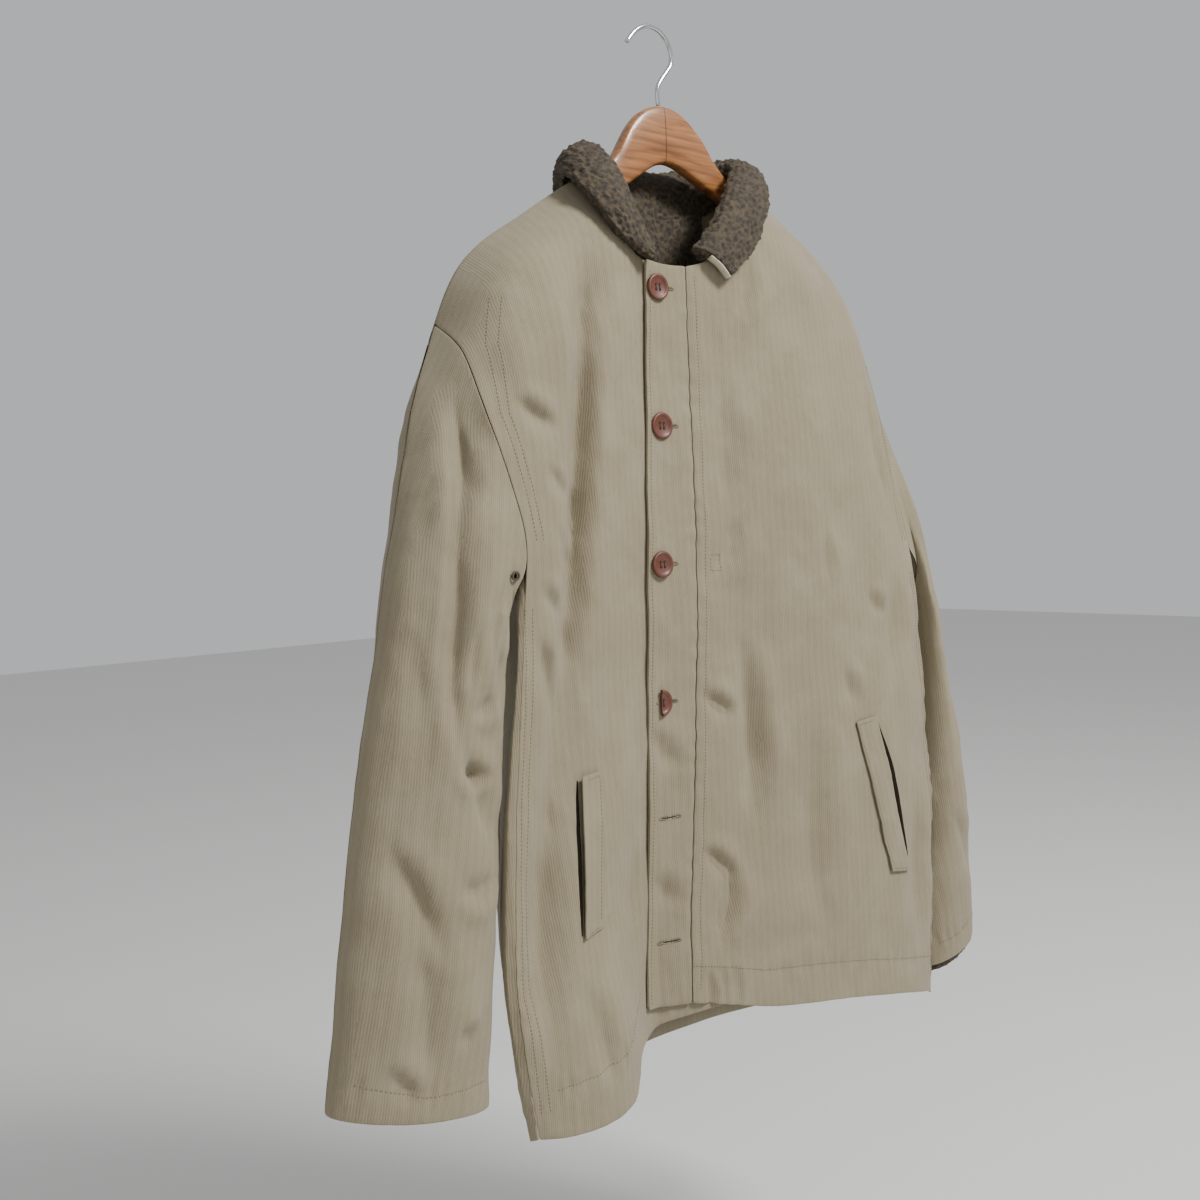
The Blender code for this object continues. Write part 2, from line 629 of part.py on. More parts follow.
def build_cuff_lining(point, mat):
    """The lining that shows in the wearer's left cuff: a short tube that stands out of it."""
    turns = np.linspace(0, 1, 25)[:-1]
    bm = bmesh.new()
    loops = []
    for share, depth in ((0.962, 0.0042), (1.0, 0.0042), (1.0, 0.0066), (0.962, 0.0066)):
        loop = []
        for turn in turns:
            here = point(turn, share) - point.normal(turn, min(share, 0.995)) * depth
            if share == 1.0:
                down = point(turn, 1.0) - point(turn, 0.97)
                here = here + down / np.linalg.norm(down) * 0.008
            loop.append(bm.verts.new(here))
        loops.append(loop)
    for loop, after in zip(loops, loops[1:] + loops[:1]):
        for k in range(len(loop)):
            m = (k + 1) % len(loop)
            bm.faces.new((loop[k], loop[m], after[m], after[k]))
    bmesh.ops.recalc_face_normals(bm, faces=bm.faces[:])
    return finish("cuff_lining_left", bm, mat)


# The worked air hole under the wearer's right arm: turn and share on the sleeve
EYELET = (0.44, 0.10)


def build_eyelet(point, mat):
    here = point(*EYELET)
    n = normal_of(point, *EYELET, -1)
    profile = ((0.0020, 0.0), (0.0040, 0.0), (0.0038, 0.0010), (0.0024, 0.0012))
    bm = bmesh.new()
    verts = [bm.verts.new((r, 0.0, z)) for r, z in profile]
    edges = [bm.edges.new((verts[k], verts[(k + 1) % 4])) for k in range(4)]
    bmesh.ops.spin(bm, geom=verts + edges, cent=(0, 0, 0), axis=(0, 0, 1),
                   angle=2 * math.pi, steps=14, use_merge=True)
    bmesh.ops.remove_doubles(bm, verts=bm.verts[:], dist=1e-5)
    bmesh.ops.recalc_face_normals(bm, faces=bm.faces[:])
    turn = Vector(n).to_track_quat("Z", "Y").to_matrix().to_4x4()
    bmesh.ops.transform(bm, matrix=Matrix.Translation(Vector(here + n * 0.0020)) @ turn,
                        verts=bm.verts[:])
    return finish("eyelet_right", bm, mat)


def tilted(point):
    """The hanger's own drawing is upright; it hangs a little lower on the wearer's right."""
    turn = Matrix.Rotation(-HANGER_TILT, 4, "Y")
    pivot = Vector((0, 0, TILT_PIVOT))
    return turn @ (Vector(point) - pivot) + pivot


# Hanger wood, one half from the middle to the tip. Columns: distance out, top height, bottom
# height, half thickness
WOOD = (
    (0.000, -0.0670, -0.1130, 0.0075),
    (0.012, -0.0680, -0.1190, 0.0075),
    (0.026, -0.0740, -0.1260, 0.0075),
    (0.038, -0.0840, -0.1330, 0.0072),
    (0.048, -0.0970, -0.1385, 0.0070),
    (0.057, -0.1100, -0.1435, 0.0068),
    (0.075, -0.1275, -0.1540, 0.0062),
    (0.088, -0.1400, -0.1620, 0.0060),
    (0.100, -0.1500, -0.1700, 0.0060),
    (0.155, -0.1865, -0.2060, 0.0058),
    (0.190, -0.2140, -0.2300, 0.0052),
    (0.202, -0.2250, -0.2350, 0.0044),
)


def build_wood(mat):
    """A bar with chamfered corners, one eight-sided ring at each station along the arms."""
    chamfer = 0.003
    bm = bmesh.new()
    rings = []
    for x, top, bottom, half in [(-row[0], *row[1:]) for row in WOOD[:0:-1]] + list(WOOD):
        face = half - chamfer
        corners = ((-half, top - chamfer), (-face, top), (face, top), (half, top - chamfer),
                   (half, bottom + chamfer), (face, bottom), (-face, bottom), (-half, bottom + chamfer))
        rings.append([bm.verts.new(tilted((x, y, z))) for y, z in corners])
    for ring, after in zip(rings, rings[1:]):
        for k in range(8):
            bm.faces.new((ring[k], ring[(k + 1) % 8], after[(k + 1) % 8], after[k]))
    for ring in (rings[0], rings[-1]):
        bm.faces.new(ring)
    bmesh.ops.recalc_face_normals(bm, faces=bm.faces[:])
    return finish("hanger_wood", bm, mat)


# The hook's centre line above its foot in the wood. Columns: x, height
HOOK_LINE = (
    (0.0000, -0.0660), (0.0000, -0.0540), (0.0035, -0.0460), (0.0120, -0.0370),
    (0.0195, -0.0285), (0.0215, -0.0190), (0.0180, -0.0080), (0.0100, -0.0005),
    (0.0000, 0.0023), (-0.0100, 0.0012), (-0.0210, -0.0050), (-0.0300, -0.0140),
)
HOOK_STEPS = 34


def build_hook(mat):
    foot = Vector((0, 0, WOOD_TOP))
    line = np.asarray(HOOK_LINE)
    curve = bpy.data.curves.new("hanger_hook", "CURVE")
    curve.dimensions = "3D"
    curve.bevel_depth = HOOK_ROD / 2
    curve.bevel_resolution = 2
    curve.use_fill_caps = True
    spline = curve.splines.new("POLY")
    spline.points.add(HOOK_STEPS)
    for step, point in enumerate(spline.points):
        x, z = smooth_at(np.arange(len(line)), line, step / HOOK_STEPS * (len(line) - 1))
        point.co = (*tilted((x, 0.0, z)), 1.0)
    piece = bpy.data.objects.new("hanger_hook", curve)
    bpy.context.collection.objects.link(piece)
    piece.location.x = HANG_SHIFT
    curve.materials.append(mat)
    return piece


# Buttons, one for each fastened buttonhole: share across the band from its free edge, and the
# share of the band's height of the first one and of the step to the next
BUTTON_PLACES = (0.24, 0.30, 0.26, 0.24)
BUTTON_FIRST = 0.033
BUTTON_STEP = 0.1845


def build_button(name, centre, facing, mat, half=False):
    """A turned disc with a rounded, raised rim round a sunk middle; half of one when that is all
    that stands out of its buttonhole."""
    profile = ((0.0, 0.0), (0.0100, 0.0), (0.0115, 0.0010), (0.0113, 0.0028), (0.0100, 0.0034),
               (0.0084, 0.0028), (0.0074, 0.0020), (0.0, 0.0020))
    bm = bmesh.new()
    verts = [bm.verts.new((r, 0.0, z)) for r, z in profile]
    edges = [bm.edges.new(pair) for pair in zip(verts, verts[1:])]
    bmesh.ops.spin(bm, geom=verts + edges, cent=(0, 0, 0), axis=(0, 0, 1),
                   angle=2 * math.pi, steps=16, use_merge=True)
    bmesh.ops.remove_doubles(bm, verts=bm.verts[:], dist=1e-5)
    turn = Vector(facing).to_track_quat("Z", "Y").to_matrix().to_4x4()
    bmesh.ops.transform(bm, matrix=Matrix.Translation(Vector(centre)) @ turn, verts=bm.verts[:])
    if half:
        bmesh.ops.bisect_plane(bm, geom=bm.verts[:] + bm.edges[:] + bm.faces[:],
                               plane_co=Vector(centre), plane_no=(1, 0, 0), clear_inner=True)
        open_edges = [edge for edge in bm.edges if edge.is_boundary]
        bmesh.ops.holes_fill(bm, edges=open_edges, sides=0)
        bmesh.ops.triangulate(bm, faces=bm.faces[:])
    bmesh.ops.recalc_face_normals(bm, faces=bm.faces[:])
    return finish(name, bm, mat)


def main():
    for thing in list(bpy.data.objects):
        bpy.data.objects.remove(thing, do_unlink=True)

    shell = material("shell cotton", (0.36, 0.32, 0.24), 0.85)
    pile = material("collar pile", (0.035, 0.028, 0.018), 0.95)
    wood = material("varnished wood", (0.25, 0.11, 0.045), 0.35)
    chrome = material("chromed steel", (0.75, 0.75, 0.74), 0.15, 1.0)
    horn = material("button", (0.10, 0.035, 0.022), 0.45)
    thread = material("thread", (0.07, 0.055, 0.035), 0.8)
    strip = material("collar end strip", (0.50, 0.45, 0.33), 0.85)

    shares = np.concatenate([np.linspace(0, ARMPIT, ARMHOLE_ROWS + 1),
                             np.linspace(ARMPIT, 1, SIDE_ROWS + 1)[1:]])
    seam = 0.003

    right = panel_point(-1.4, 2.0 - seam, NECK_FRONT, HEM_RIGHT)
    left = panel_point(11.0 - 2 * seam, 8.0 + seam, NECK_FRONT, HEM_LEFT, lap_lift)
    band = panel_point(12.0, 11.0 + 2 * seam, NECK_FRONT, HEM_BAND, lambda place: LAP)
    back = panel_point(lambda v: 8.0 - seam - back_armhole(v), lambda v: 2.0 + seam + back_armhole(v),
                       NECK_BACK, HEM_BACK)

    build_wall("front_right", right, np.linspace(0, 1, 20), shares, WALL, shell, toward=-1)
    build_wall("front_left", left, np.linspace(0, 1, 16), shares, WALL, shell, toward=-1)
    build_wall("back", back, np.linspace(0, 1, 25), shares, WALL, shell, toward=1)
    build_wall("button_band", band, np.linspace(0, 1, 4), shares, BAND_WALL, shell)

    lengths = np.linspace(0, 1, SLEEVE_ROWS + 1)
    fronts = np.linspace(0.003, 0.497, ARMHOLE_ROWS + 1)
    down, up = armhole_edges(right, back, 1.0)
    loop = np.array([here for here, way, away in down + up[1:-1]])
    sleeve = creased_sleeve(sleeve_point(SLEEVE_RIGHT, loop, -1), SLEEVE_CREASES, -1)
    build_wall("sleeve_right_front", sleeve, fronts, lengths, WALL, shell, start=down)
    build_wall("sleeve_right_back", sleeve, fronts + 0.5, lengths, WALL, shell, start=up)
    build_eyelet(sleeve, thread)
    down, up = armhole_edges(left, back, 0.0)
    loop = np.array([here for here, way, away in down + up[1:-1]])
    sleeve = creased_sleeve(sleeve_point(SLEEVE_LEFT, loop, 1), SLEEVE_CREASES[3:], 1)
    build_wall("sleeve_left_front", sleeve, fronts, lengths, WALL, shell, start=down)
    build_wall("sleeve_left_back", sleeve, fronts + 0.5, lengths, WALL, shell, start=up)
    build_cuff_lining(sleeve, pile)

    for name, (face, *corners) in WELTS.items():
        build_welt(name, face, corners, shell)
    build_neck_lining(pile)
    build_collar(pile)
    build_collar_strip(strip)
    build_wood(wood)
    build_hook(chrome)
    for number, across in enumerate(BUTTON_PLACES):
        down = BUTTON_FIRST + BUTTON_STEP * number
        facing = band.normal(across, down)
        centre = band(across, down) + facing * 0.0014
        build_button("button_%d" % (number + 1), centre, facing, horn, half=number == 3)


main()
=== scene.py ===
"""Looks of a cotton deck jacket with a pile collar that hangs on a varnished wooden hanger.

Metres, +Z up, the jacket facing -Y and its wearer's right side at -X. Every sewn piece is a
smooth, pressed and creased copy of its own solid.
"""
import math

import bmesh
import bpy
import numpy as np
from mathutils import Matrix, Vector, noise
from mathutils.bvhtree import BVHTree


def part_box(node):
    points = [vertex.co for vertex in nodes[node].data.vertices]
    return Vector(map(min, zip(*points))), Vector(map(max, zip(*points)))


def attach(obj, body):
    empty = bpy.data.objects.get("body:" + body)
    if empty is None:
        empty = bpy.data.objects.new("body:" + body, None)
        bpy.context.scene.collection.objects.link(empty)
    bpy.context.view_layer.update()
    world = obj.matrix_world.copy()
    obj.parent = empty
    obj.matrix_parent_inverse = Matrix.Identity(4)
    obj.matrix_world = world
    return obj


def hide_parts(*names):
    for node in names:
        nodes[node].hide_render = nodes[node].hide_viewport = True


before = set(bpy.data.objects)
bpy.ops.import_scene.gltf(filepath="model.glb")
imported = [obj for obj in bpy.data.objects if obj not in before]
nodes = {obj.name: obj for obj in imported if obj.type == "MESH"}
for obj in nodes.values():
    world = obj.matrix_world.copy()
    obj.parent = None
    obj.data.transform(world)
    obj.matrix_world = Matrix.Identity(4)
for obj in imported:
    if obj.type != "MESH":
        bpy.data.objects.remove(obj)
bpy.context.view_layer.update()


# Body of the jacket: back, two fronts and the button band, all of one heavy khaki cotton with a
# fine upright rib. They are sewn together at the sides and shoulders with flat felled seams,
# which pucker, and the cloth hangs in folds from the hanger and from the fastened buttons.

# The jacket's middle hangs this far from the nail, so the places below are its own
HANG = 0.0068
# Half width, half depth and centre of the body's round, for the way out of the cloth
BODY_ROUND = (0.27, 0.06)
BODY_CENTRE = (0.03, -0.035)
CUT_EDGE = math.radians(55)
FOLD_DEPTH = 2.1
# How deep a row of stitches pulls the cloth in
GROOVE = 0.0007
# The armholes, seen from the front, beside which body and sleeve keep to their seam
ARMHOLES = (((-0.232, -0.240), (-0.248, -0.276), (-0.249, -0.354), (-0.229, -0.450), (-0.232, -0.500)),
            ((0.250, -0.240), (0.256, -0.280), (0.262, -0.360), (0.276, -0.470), (0.280, -0.500)))
SIDE_SEAMS = (((-0.249, -0.354), (-0.229, -0.450), (-0.242, -0.570), (-0.257, -0.700),
               (-0.263, -0.785), (-0.245, -0.930)),
              ((0.262, -0.360), (0.276, -0.485), (0.290, -0.600), (0.297, -0.750), (0.292, -0.930)))
KHAKI = (0.270, 0.232, 0.155, 1.0)
KHAKI_DARK = (0.178, 0.146, 0.090, 1.0)
KHAKI_WORN = (0.350, 0.312, 0.228, 1.0)

# Folds of each piece, seen from the front: a line of x and height, depth and half width
FOLDS = {
    "front_right": (
        (((-0.132, -0.218), (-0.161, -0.420), (-0.183, -0.536), (-0.208, -0.618)), 0.005, 0.010),
        (((-0.208, -0.618), (-0.228, -0.705), (-0.238, -0.797), (-0.236, -0.860)), 0.004, 0.012),
        (((-0.164, -0.243), (-0.170, -0.330), (-0.176, -0.404)), -0.002, 0.008),
        (((-0.230, -0.341), (-0.208, -0.356), (-0.184, -0.365)), 0.003, 0.006),
        (((-0.200, -0.440), (-0.176, -0.462), (-0.158, -0.474)), 0.002, 0.006),
        (((-0.222, -0.478), (-0.205, -0.500), (-0.180, -0.512)), 0.0028, 0.006),
        (((-0.226, -0.515), (-0.214, -0.545), (-0.200, -0.590)), 0.0028, 0.007),
        (((-0.204, -0.390), (-0.190, -0.410), (-0.166, -0.420)), 0.0018, 0.005),
        (((-0.118, -0.240), (-0.140, -0.262), (-0.152, -0.300)), 0.0020, 0.007),
        (((-0.120, -0.520), (-0.140, -0.600), (-0.150, -0.700)), 0.0022, 0.014),
        (((-0.105, -0.700), (-0.118, -0.770), (-0.135, -0.850)), 0.0025, 0.012),
        (((-0.196, -0.780), (-0.190, -0.830), (-0.180, -0.880)), 0.0025, 0.009),
        (((-0.110, -0.300), (-0.120, -0.380), (-0.118, -0.450)), 0.0015, 0.012),
    ),
    "front_left": (
        (((-0.032, -0.587), (-0.008, -0.605), (0.0135, -0.618)), 0.0028, 0.006),
        (((-0.037, -0.723), (-0.014, -0.746), (0.006, -0.764)), 0.0028, 0.006),
        (((0.020, -0.530), (0.025, -0.566), (0.032, -0.656), (0.026, -0.698), (0.019, -0.731)),
         0.0045, 0.009),
        (((0.000, -0.7345), (-0.006, -0.775), (-0.023, -0.828)), 0.0035, 0.007),
        (((0.132, -0.451), (0.128, -0.480), (0.120, -0.507)), 0.0022, 0.006),
        (((0.187, -0.512), (0.198, -0.528), (0.210, -0.541)), 0.0022, 0.006),
        (((0.144, -0.582), (0.150, -0.603), (0.155, -0.623)), 0.0022, 0.006),
        (((-0.034, -0.832), (-0.030, -0.860), (-0.034, -0.886)), 0.0020, 0.004),
        (((-0.022, -0.830), (-0.017, -0.855), (-0.020, -0.882)), 0.0018, 0.004),
        (((-0.010, -0.828), (-0.004, -0.856), (-0.006, -0.884)), 0.0016, 0.004),
        (((0.030, -0.430), (0.010, -0.470), (-0.012, -0.490)), 0.0020, 0.008),
        (((0.010, -0.300), (0.016, -0.370), (0.006, -0.440)), 0.0018, 0.010),
        (((0.218, -0.300), (0.226, -0.370), (0.236, -0.440)), 0.0030, 0.009),
        (((0.245, -0.480), (0.225, -0.560), (0.214, -0.630)), 0.0026, 0.010),
        (((0.100, -0.640), (0.094, -0.740), (0.104, -0.860)), 0.0030, 0.015),
        (((0.250, -0.700), (0.252, -0.800), (0.246, -0.900)), 0.0032, 0.012),
        (((0.060, -0.200), (0.048, -0.240), (0.030, -0.270)), 0.0018, 0.007),
    ),
    "button_band": (
        (((-0.088, -0.610), (-0.070, -0.640), (-0.046, -0.655)), 0.0018, 0.008),
        (((-0.090, -0.740), (-0.072, -0.762), (-0.048, -0.770)), 0.0016, 0.008),
    ),
    "back": (
        (((-0.150, -0.240), (-0.130, -0.500), (-0.120, -0.900)), 0.005, 0.014),
        (((0.170, -0.230), (0.160, -0.500), (0.150, -0.900)), 0.005, 0.014),
        (((-0.200, -0.420), (-0.170, -0.480), (-0.120, -0.520)), 0.003, 0.008),
        (((0.230, -0.440), (0.200, -0.500), (0.150, -0.540)), 0.003, 0.008),
        (((-0.060, -0.180), (-0.020, -0.260), (-0.010, -0.340)), 0.002, 0.010),
        (((0.080, -0.180), (0.050, -0.260), (0.040, -0.340)), 0.002, 0.010),
        (((0.010, -0.420), (0.020, -0.620), (0.000, -0.860)), 0.003, 0.016),
        (((-0.060, -0.640), (-0.070, -0.760), (-0.055, -0.880)), 0.0028, 0.011),
        (((0.090, -0.620), (0.085, -0.760), (0.098, -0.900)), 0.0028, 0.011),
        (((0.240, -0.700), (0.236, -0.800), (0.240, -0.900)), 0.003, 0.010),
    ),
}
# Seams and hems that pucker: the line, the height of the ripple, its length and half width
PUCKERS = {
    "front_right": (
        (((-0.249, -0.480), (-0.262, -0.620), (-0.268, -0.785), (-0.256, -0.896)), 0.0006, 0.021, 0.009),
        (((-0.233, -0.862), (-0.166, -0.856), (-0.106, -0.834)), 0.0008, 0.016, 0.010),
    ),
    "front_left": (
        (((-0.018, -0.239), (-0.026, -0.474), (-0.041, -0.682), (-0.052, -0.821)), 0.0005, 0.021, 0.008),
        (((0.022, -0.850), (0.086, -0.858), (0.167, -0.873), (0.266, -0.900)), 0.0008, 0.018, 0.010),
        (((0.290, -0.500), (0.300, -0.700), (0.295, -0.930)), 0.0006, 0.021, 0.009),
    ),
    "button_band": (
        (((-0.018, -0.239), (-0.026, -0.474), (-0.041, -0.682), (-0.052, -0.821)), 0.0005, 0.021, 0.008),
    ),
    "back": (
        (((-0.240, -0.880), (0.020, -0.900), (0.290, -0.915)), 0.0008, 0.018, 0.010),
        (((-0.249, -0.480), (-0.262, -0.620), (-0.268, -0.785), (-0.256, -0.896)), 0.0006, 0.021, 0.009),
        (((0.290, -0.500), (0.300, -0.700), (0.295, -0.930)), 0.0006, 0.021, 0.009),
    ),
}


def smooth_copy(node, level, longer=0):
    """A merged copy of a node's solid with rounded surfaces and its cut edges kept."""
    bm = bmesh.new()
    bm.from_mesh(nodes[node].data)
    bmesh.ops.remove_doubles(bm, verts=bm.verts[:], dist=1e-5)
    bmesh.ops.join_triangles(bm, faces=bm.faces[:], angle_face_threshold=math.radians(40),
                             angle_shape_threshold=math.radians(70))
    if longer:
        bmesh.ops.subdivide_edges(bm, edges=bm.edges[:], cuts=longer, use_grid_fill=True)
    crease = bm.edges.layers.float.new("crease_edge")
    for edge in bm.edges:
        if edge.calc_face_angle(0.0) > CUT_EDGE:
            edge[crease] = 0.9
    mesh = bpy.data.meshes.new(node + "_coarse")
    bm.to_mesh(mesh)
    bm.free()
    coarse = bpy.data.objects.new(node + "_coarse", mesh)
    bpy.context.collection.objects.link(coarse)
    rounding = coarse.modifiers.new("Round", "SUBSURF")
    rounding.levels = rounding.render_levels = level
    fine = bpy.data.meshes.new_from_object(
        coarse.evaluated_get(bpy.context.evaluated_depsgraph_get()))
    bpy.data.objects.remove(coarse)
    return fine


def points_of(mesh):
    points = np.empty(len(mesh.vertices) * 3)
    mesh.vertices.foreach_get("co", points)
    return points.reshape(-1, 3)


def put_points(mesh, points):
    mesh.vertices.foreach_set("co", points.ravel())
    mesh.update()


def from_line(points, line):
    """How far each point is from a line seen from the front, on which side, and how far along."""
    flat = points[:, (0, 2)]
    corners = np.array(line) + (HANG, 0.0)
    nearest = np.full(len(flat), np.inf)
    side = np.zeros(len(flat))
    along = np.zeros(len(flat))
    run = 0.0
    for a, b in zip(corners, corners[1:]):
        step = b - a
        length = math.hypot(*step)
        share = np.clip(((flat - a) @ step) / length**2, 0, 1)
        gap = flat - a - share[:, None] * step
        far = np.hypot(gap[:, 0], gap[:, 1])
        closer = far < nearest
        turn = np.sign(step[0] * gap[:, 1] - step[1] * gap[:, 0])
        nearest = np.where(closer, far, nearest)
        side = np.where(closer, turn, side)
        along = np.where(closer, run + share * length, along)
        run += length
    return nearest, side, along, run


def fold_in(points, out, folds):
    """A fold is a valley on its line with a softer ridge beside it, and runs out at its ends."""
    for line, depth, half in folds:
        far, side, along, run = from_line(points, line)
        ends = np.clip(np.minimum(along, run - along) / (0.42 * run), 0, 1)
        ends = ends * ends * (3 - 2 * ends)
        narrow = half * (0.8 + 0.4 * ends)
        valley = np.exp(-(far / narrow) ** 1.7)
        ridge = 0.6 * np.exp(-((far * side - 1.9 * narrow) / (1.3 * narrow)) ** 2)
        points -= out * ((valley - ridge) * ends * depth * FOLD_DEPTH)[:, None]


def pucker(points, out, seams):
    for line, height, length, half in seams:
        far, side, along, run = from_line(points, line)
        wave = np.sin(2 * math.pi * along / length + 1.7 * np.sin(along / length * 1.3))
        near = np.exp(-(far / half) ** 2)
        points += out * (wave * near * height - GROOVE * np.exp(-(far / 0.003) ** 2))[:, None]


def rumple(points, out, depth=0.0028, size=0.055):
    """Cloth is nowhere quite smooth: a slow unevenness, small soft breaks and a fine grain."""
    rough = []
    for point in points:
        here = Vector(point)
        slow = noise.noise(here / size)
        breaks = 0.5 - abs(noise.noise(Vector((point[0], point[1], point[2] * 0.6)) / (size * 0.42)))
        rough.append((slow + 0.55 * breaks + 0.12 * noise.noise(here / (size * 0.16))) * depth)
    points += out * np.array(rough)[:, None]


def calm(points, out, seams, reach):
    """Quietens the folds towards seams, so that the pieces on both sides stay joined."""
    far = np.min([from_line(points, line)[0] for line in seams], axis=0)
    return out * np.clip((far - 0.003) / reach, 0, 1)[:, None]


def body_out(points):
    flat = points[:, :2] - BODY_CENTRE
    out = np.zeros_like(points)
    out[:, :2] = flat / np.square(BODY_ROUND)
    return out / np.linalg.norm(out, axis=1)[:, None]


def lay_weave(mesh, lean=0.0):
    """The weave's own map in metres: across and along the cloth, which leans by this angle."""
    count = len(mesh.loops)
    corner = np.empty(count, dtype=np.int64)
    mesh.loops.foreach_get("vertex_index", corner)
    points = points_of(mesh)[corner]
    normals = np.empty(len(mesh.polygons) * 3)
    mesh.polygons.foreach_get("normal", normals)
    sizes = np.empty(len(mesh.polygons), dtype=np.int64)
    mesh.polygons.foreach_get("loop_total", sizes)
    sideways = np.repeat(np.abs(normals.reshape(-1, 3)[:, 0]) > 0.75, sizes)
    across = points[:, 0] * math.cos(lean) + points[:, 2] * math.sin(lean)
    length = points[:, 2] * math.cos(lean) - points[:, 0] * math.sin(lean)
    weave = np.stack([np.where(sideways, points[:, 1], across), length], axis=1)
    layer = mesh.uv_layers.new(name="weave") if not mesh.uv_layers else mesh.uv_layers[0]
    layer.data.foreach_set("uv", weave.ravel())


def dress(name, mesh, material, node):
    mesh.shade_smooth()
    mesh.set_sharp_from_angle(angle=math.radians(50))
    mesh.materials.clear()
    mesh.materials.append(material)
    piece = bpy.data.objects.new(name, mesh)
    bpy.context.collection.objects.link(piece)
    if node:
        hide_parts(node)
    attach(piece, "root")
    return piece


def group_socket(group, name, way, kind="NodeSocketFloat"):
    return group.interface.new_socket(name=name, in_out=way, socket_type=kind)


# The cloth's tone changes in upright stripes eight millimetres apart
STRIPE = 0.314 / 0.008
RIBS = 0.314 / 0.0017


def twill_group():
    """Fine upright ribs with slubs and fading, from the weave's map: a colour share and a height."""
    group = bpy.data.node_groups.new("Ribbed cotton", "ShaderNodeTree")
    group_socket(group, "Rib Scale", "INPUT")
    group_socket(group, "Fading", "INPUT")
    group_socket(group, "Shade", "OUTPUT")
    group_socket(group, "Worn", "OUTPUT")
    group_socket(group, "Height", "OUTPUT")
    make = group.nodes.new
    link = group.links.new
    given, put = make("NodeGroupInput"), make("NodeGroupOutput")
    place = make("ShaderNodeTexCoord")
    wobble = make("ShaderNodeTexNoise")
    wobble.inputs["Scale"].default_value = 90
    nudge = make("ShaderNodeVectorMath")
    nudge.operation = "MULTIPLY_ADD"
    nudge.inputs[1].default_value = (0.0005, 0.0, 0.0)
    rib = make("ShaderNodeTexWave")
    rib.inputs["Distortion"].default_value = 1.2
    rib.inputs["Detail"].default_value = 1.0
    rib.inputs["Detail Scale"].default_value = 3.0
    slub = make("ShaderNodeTexNoise")
    slub.inputs["Scale"].default_value = 1.0
    slub.inputs["Detail"].default_value = 3.0
    stretch = make("ShaderNodeMapping")
    stretch.inputs["Scale"].default_value = (900, 160, 1)
    pick = make("ShaderNodeTexNoise")
    pick.inputs["Scale"].default_value = 1500
    sun = make("ShaderNodeTexNoise")
    sun.inputs["Scale"].default_value = 26
    sun.inputs["Detail"].default_value = 4.0
    rise = make("ShaderNodeMath")
    rise.operation = "MULTIPLY_ADD"
    rise.inputs[1].default_value = 0.45
    weft = make("ShaderNodeMath")
    weft.operation = "MULTIPLY_ADD"
    weft.inputs[1].default_value = 0.4
    tone = make("ShaderNodeMath")
    tone.operation = "MULTIPLY_ADD"
    tone.inputs[1].default_value = 0.55
    stripe = make("ShaderNodeTexWave")
    stripe.inputs["Scale"].default_value = STRIPE
    stripe.inputs["Distortion"].default_value = 0.6
    streak = make("ShaderNodeMath")
    streak.operation = "MULTIPLY_ADD"
    streak.inputs[1].default_value = 0.16
    worn = make("ShaderNodeMapRange")
    worn.inputs["From Min"].default_value = 0.45
    worn.inputs["From Max"].default_value = 0.75
    link(place.outputs["UV"], wobble.inputs["Vector"])
    link(wobble.outputs["Color"], nudge.inputs[0])
    link(place.outputs["UV"], nudge.inputs[2])
    link(nudge.outputs["Vector"], rib.inputs["Vector"])
    link(given.outputs["Rib Scale"], rib.inputs["Scale"])
    link(place.outputs["UV"], stretch.inputs["Vector"])
    link(stretch.outputs["Vector"], slub.inputs["Vector"])
    link(place.outputs["UV"], pick.inputs["Vector"])
    link(place.outputs["Object"], sun.inputs["Vector"])
    link(rib.outputs["Fac"], rise.inputs[0])
    link(slub.outputs["Fac"], weft.inputs[0])
    link(pick.outputs["Fac"], weft.inputs[2])
    link(weft.outputs["Value"], rise.inputs[2])
    link(slub.outputs["Fac"], tone.inputs[0])
    shade_rib = make("ShaderNodeMath")
    shade_rib.operation = "MULTIPLY"
    shade_rib.inputs[1].default_value = 0.45
    link(rib.outputs["Fac"], shade_rib.inputs[0])
    link(place.outputs["UV"], stripe.inputs["Vector"])
    link(stripe.outputs["Fac"], streak.inputs[0])
    link(shade_rib.outputs["Value"], streak.inputs[2])
    link(streak.outputs["Value"], tone.inputs[2])
    link(sun.outputs["Fac"], worn.inputs["Value"])
    link(given.outputs["Fading"], worn.inputs["To Max"])
    link(tone.outputs["Value"], put.inputs["Shade"])
    link(worn.outputs["Result"], put.inputs["Worn"])
    link(rise.outputs["Value"], put.inputs["Height"])
    return group


ribbed_cotton = twill_group()


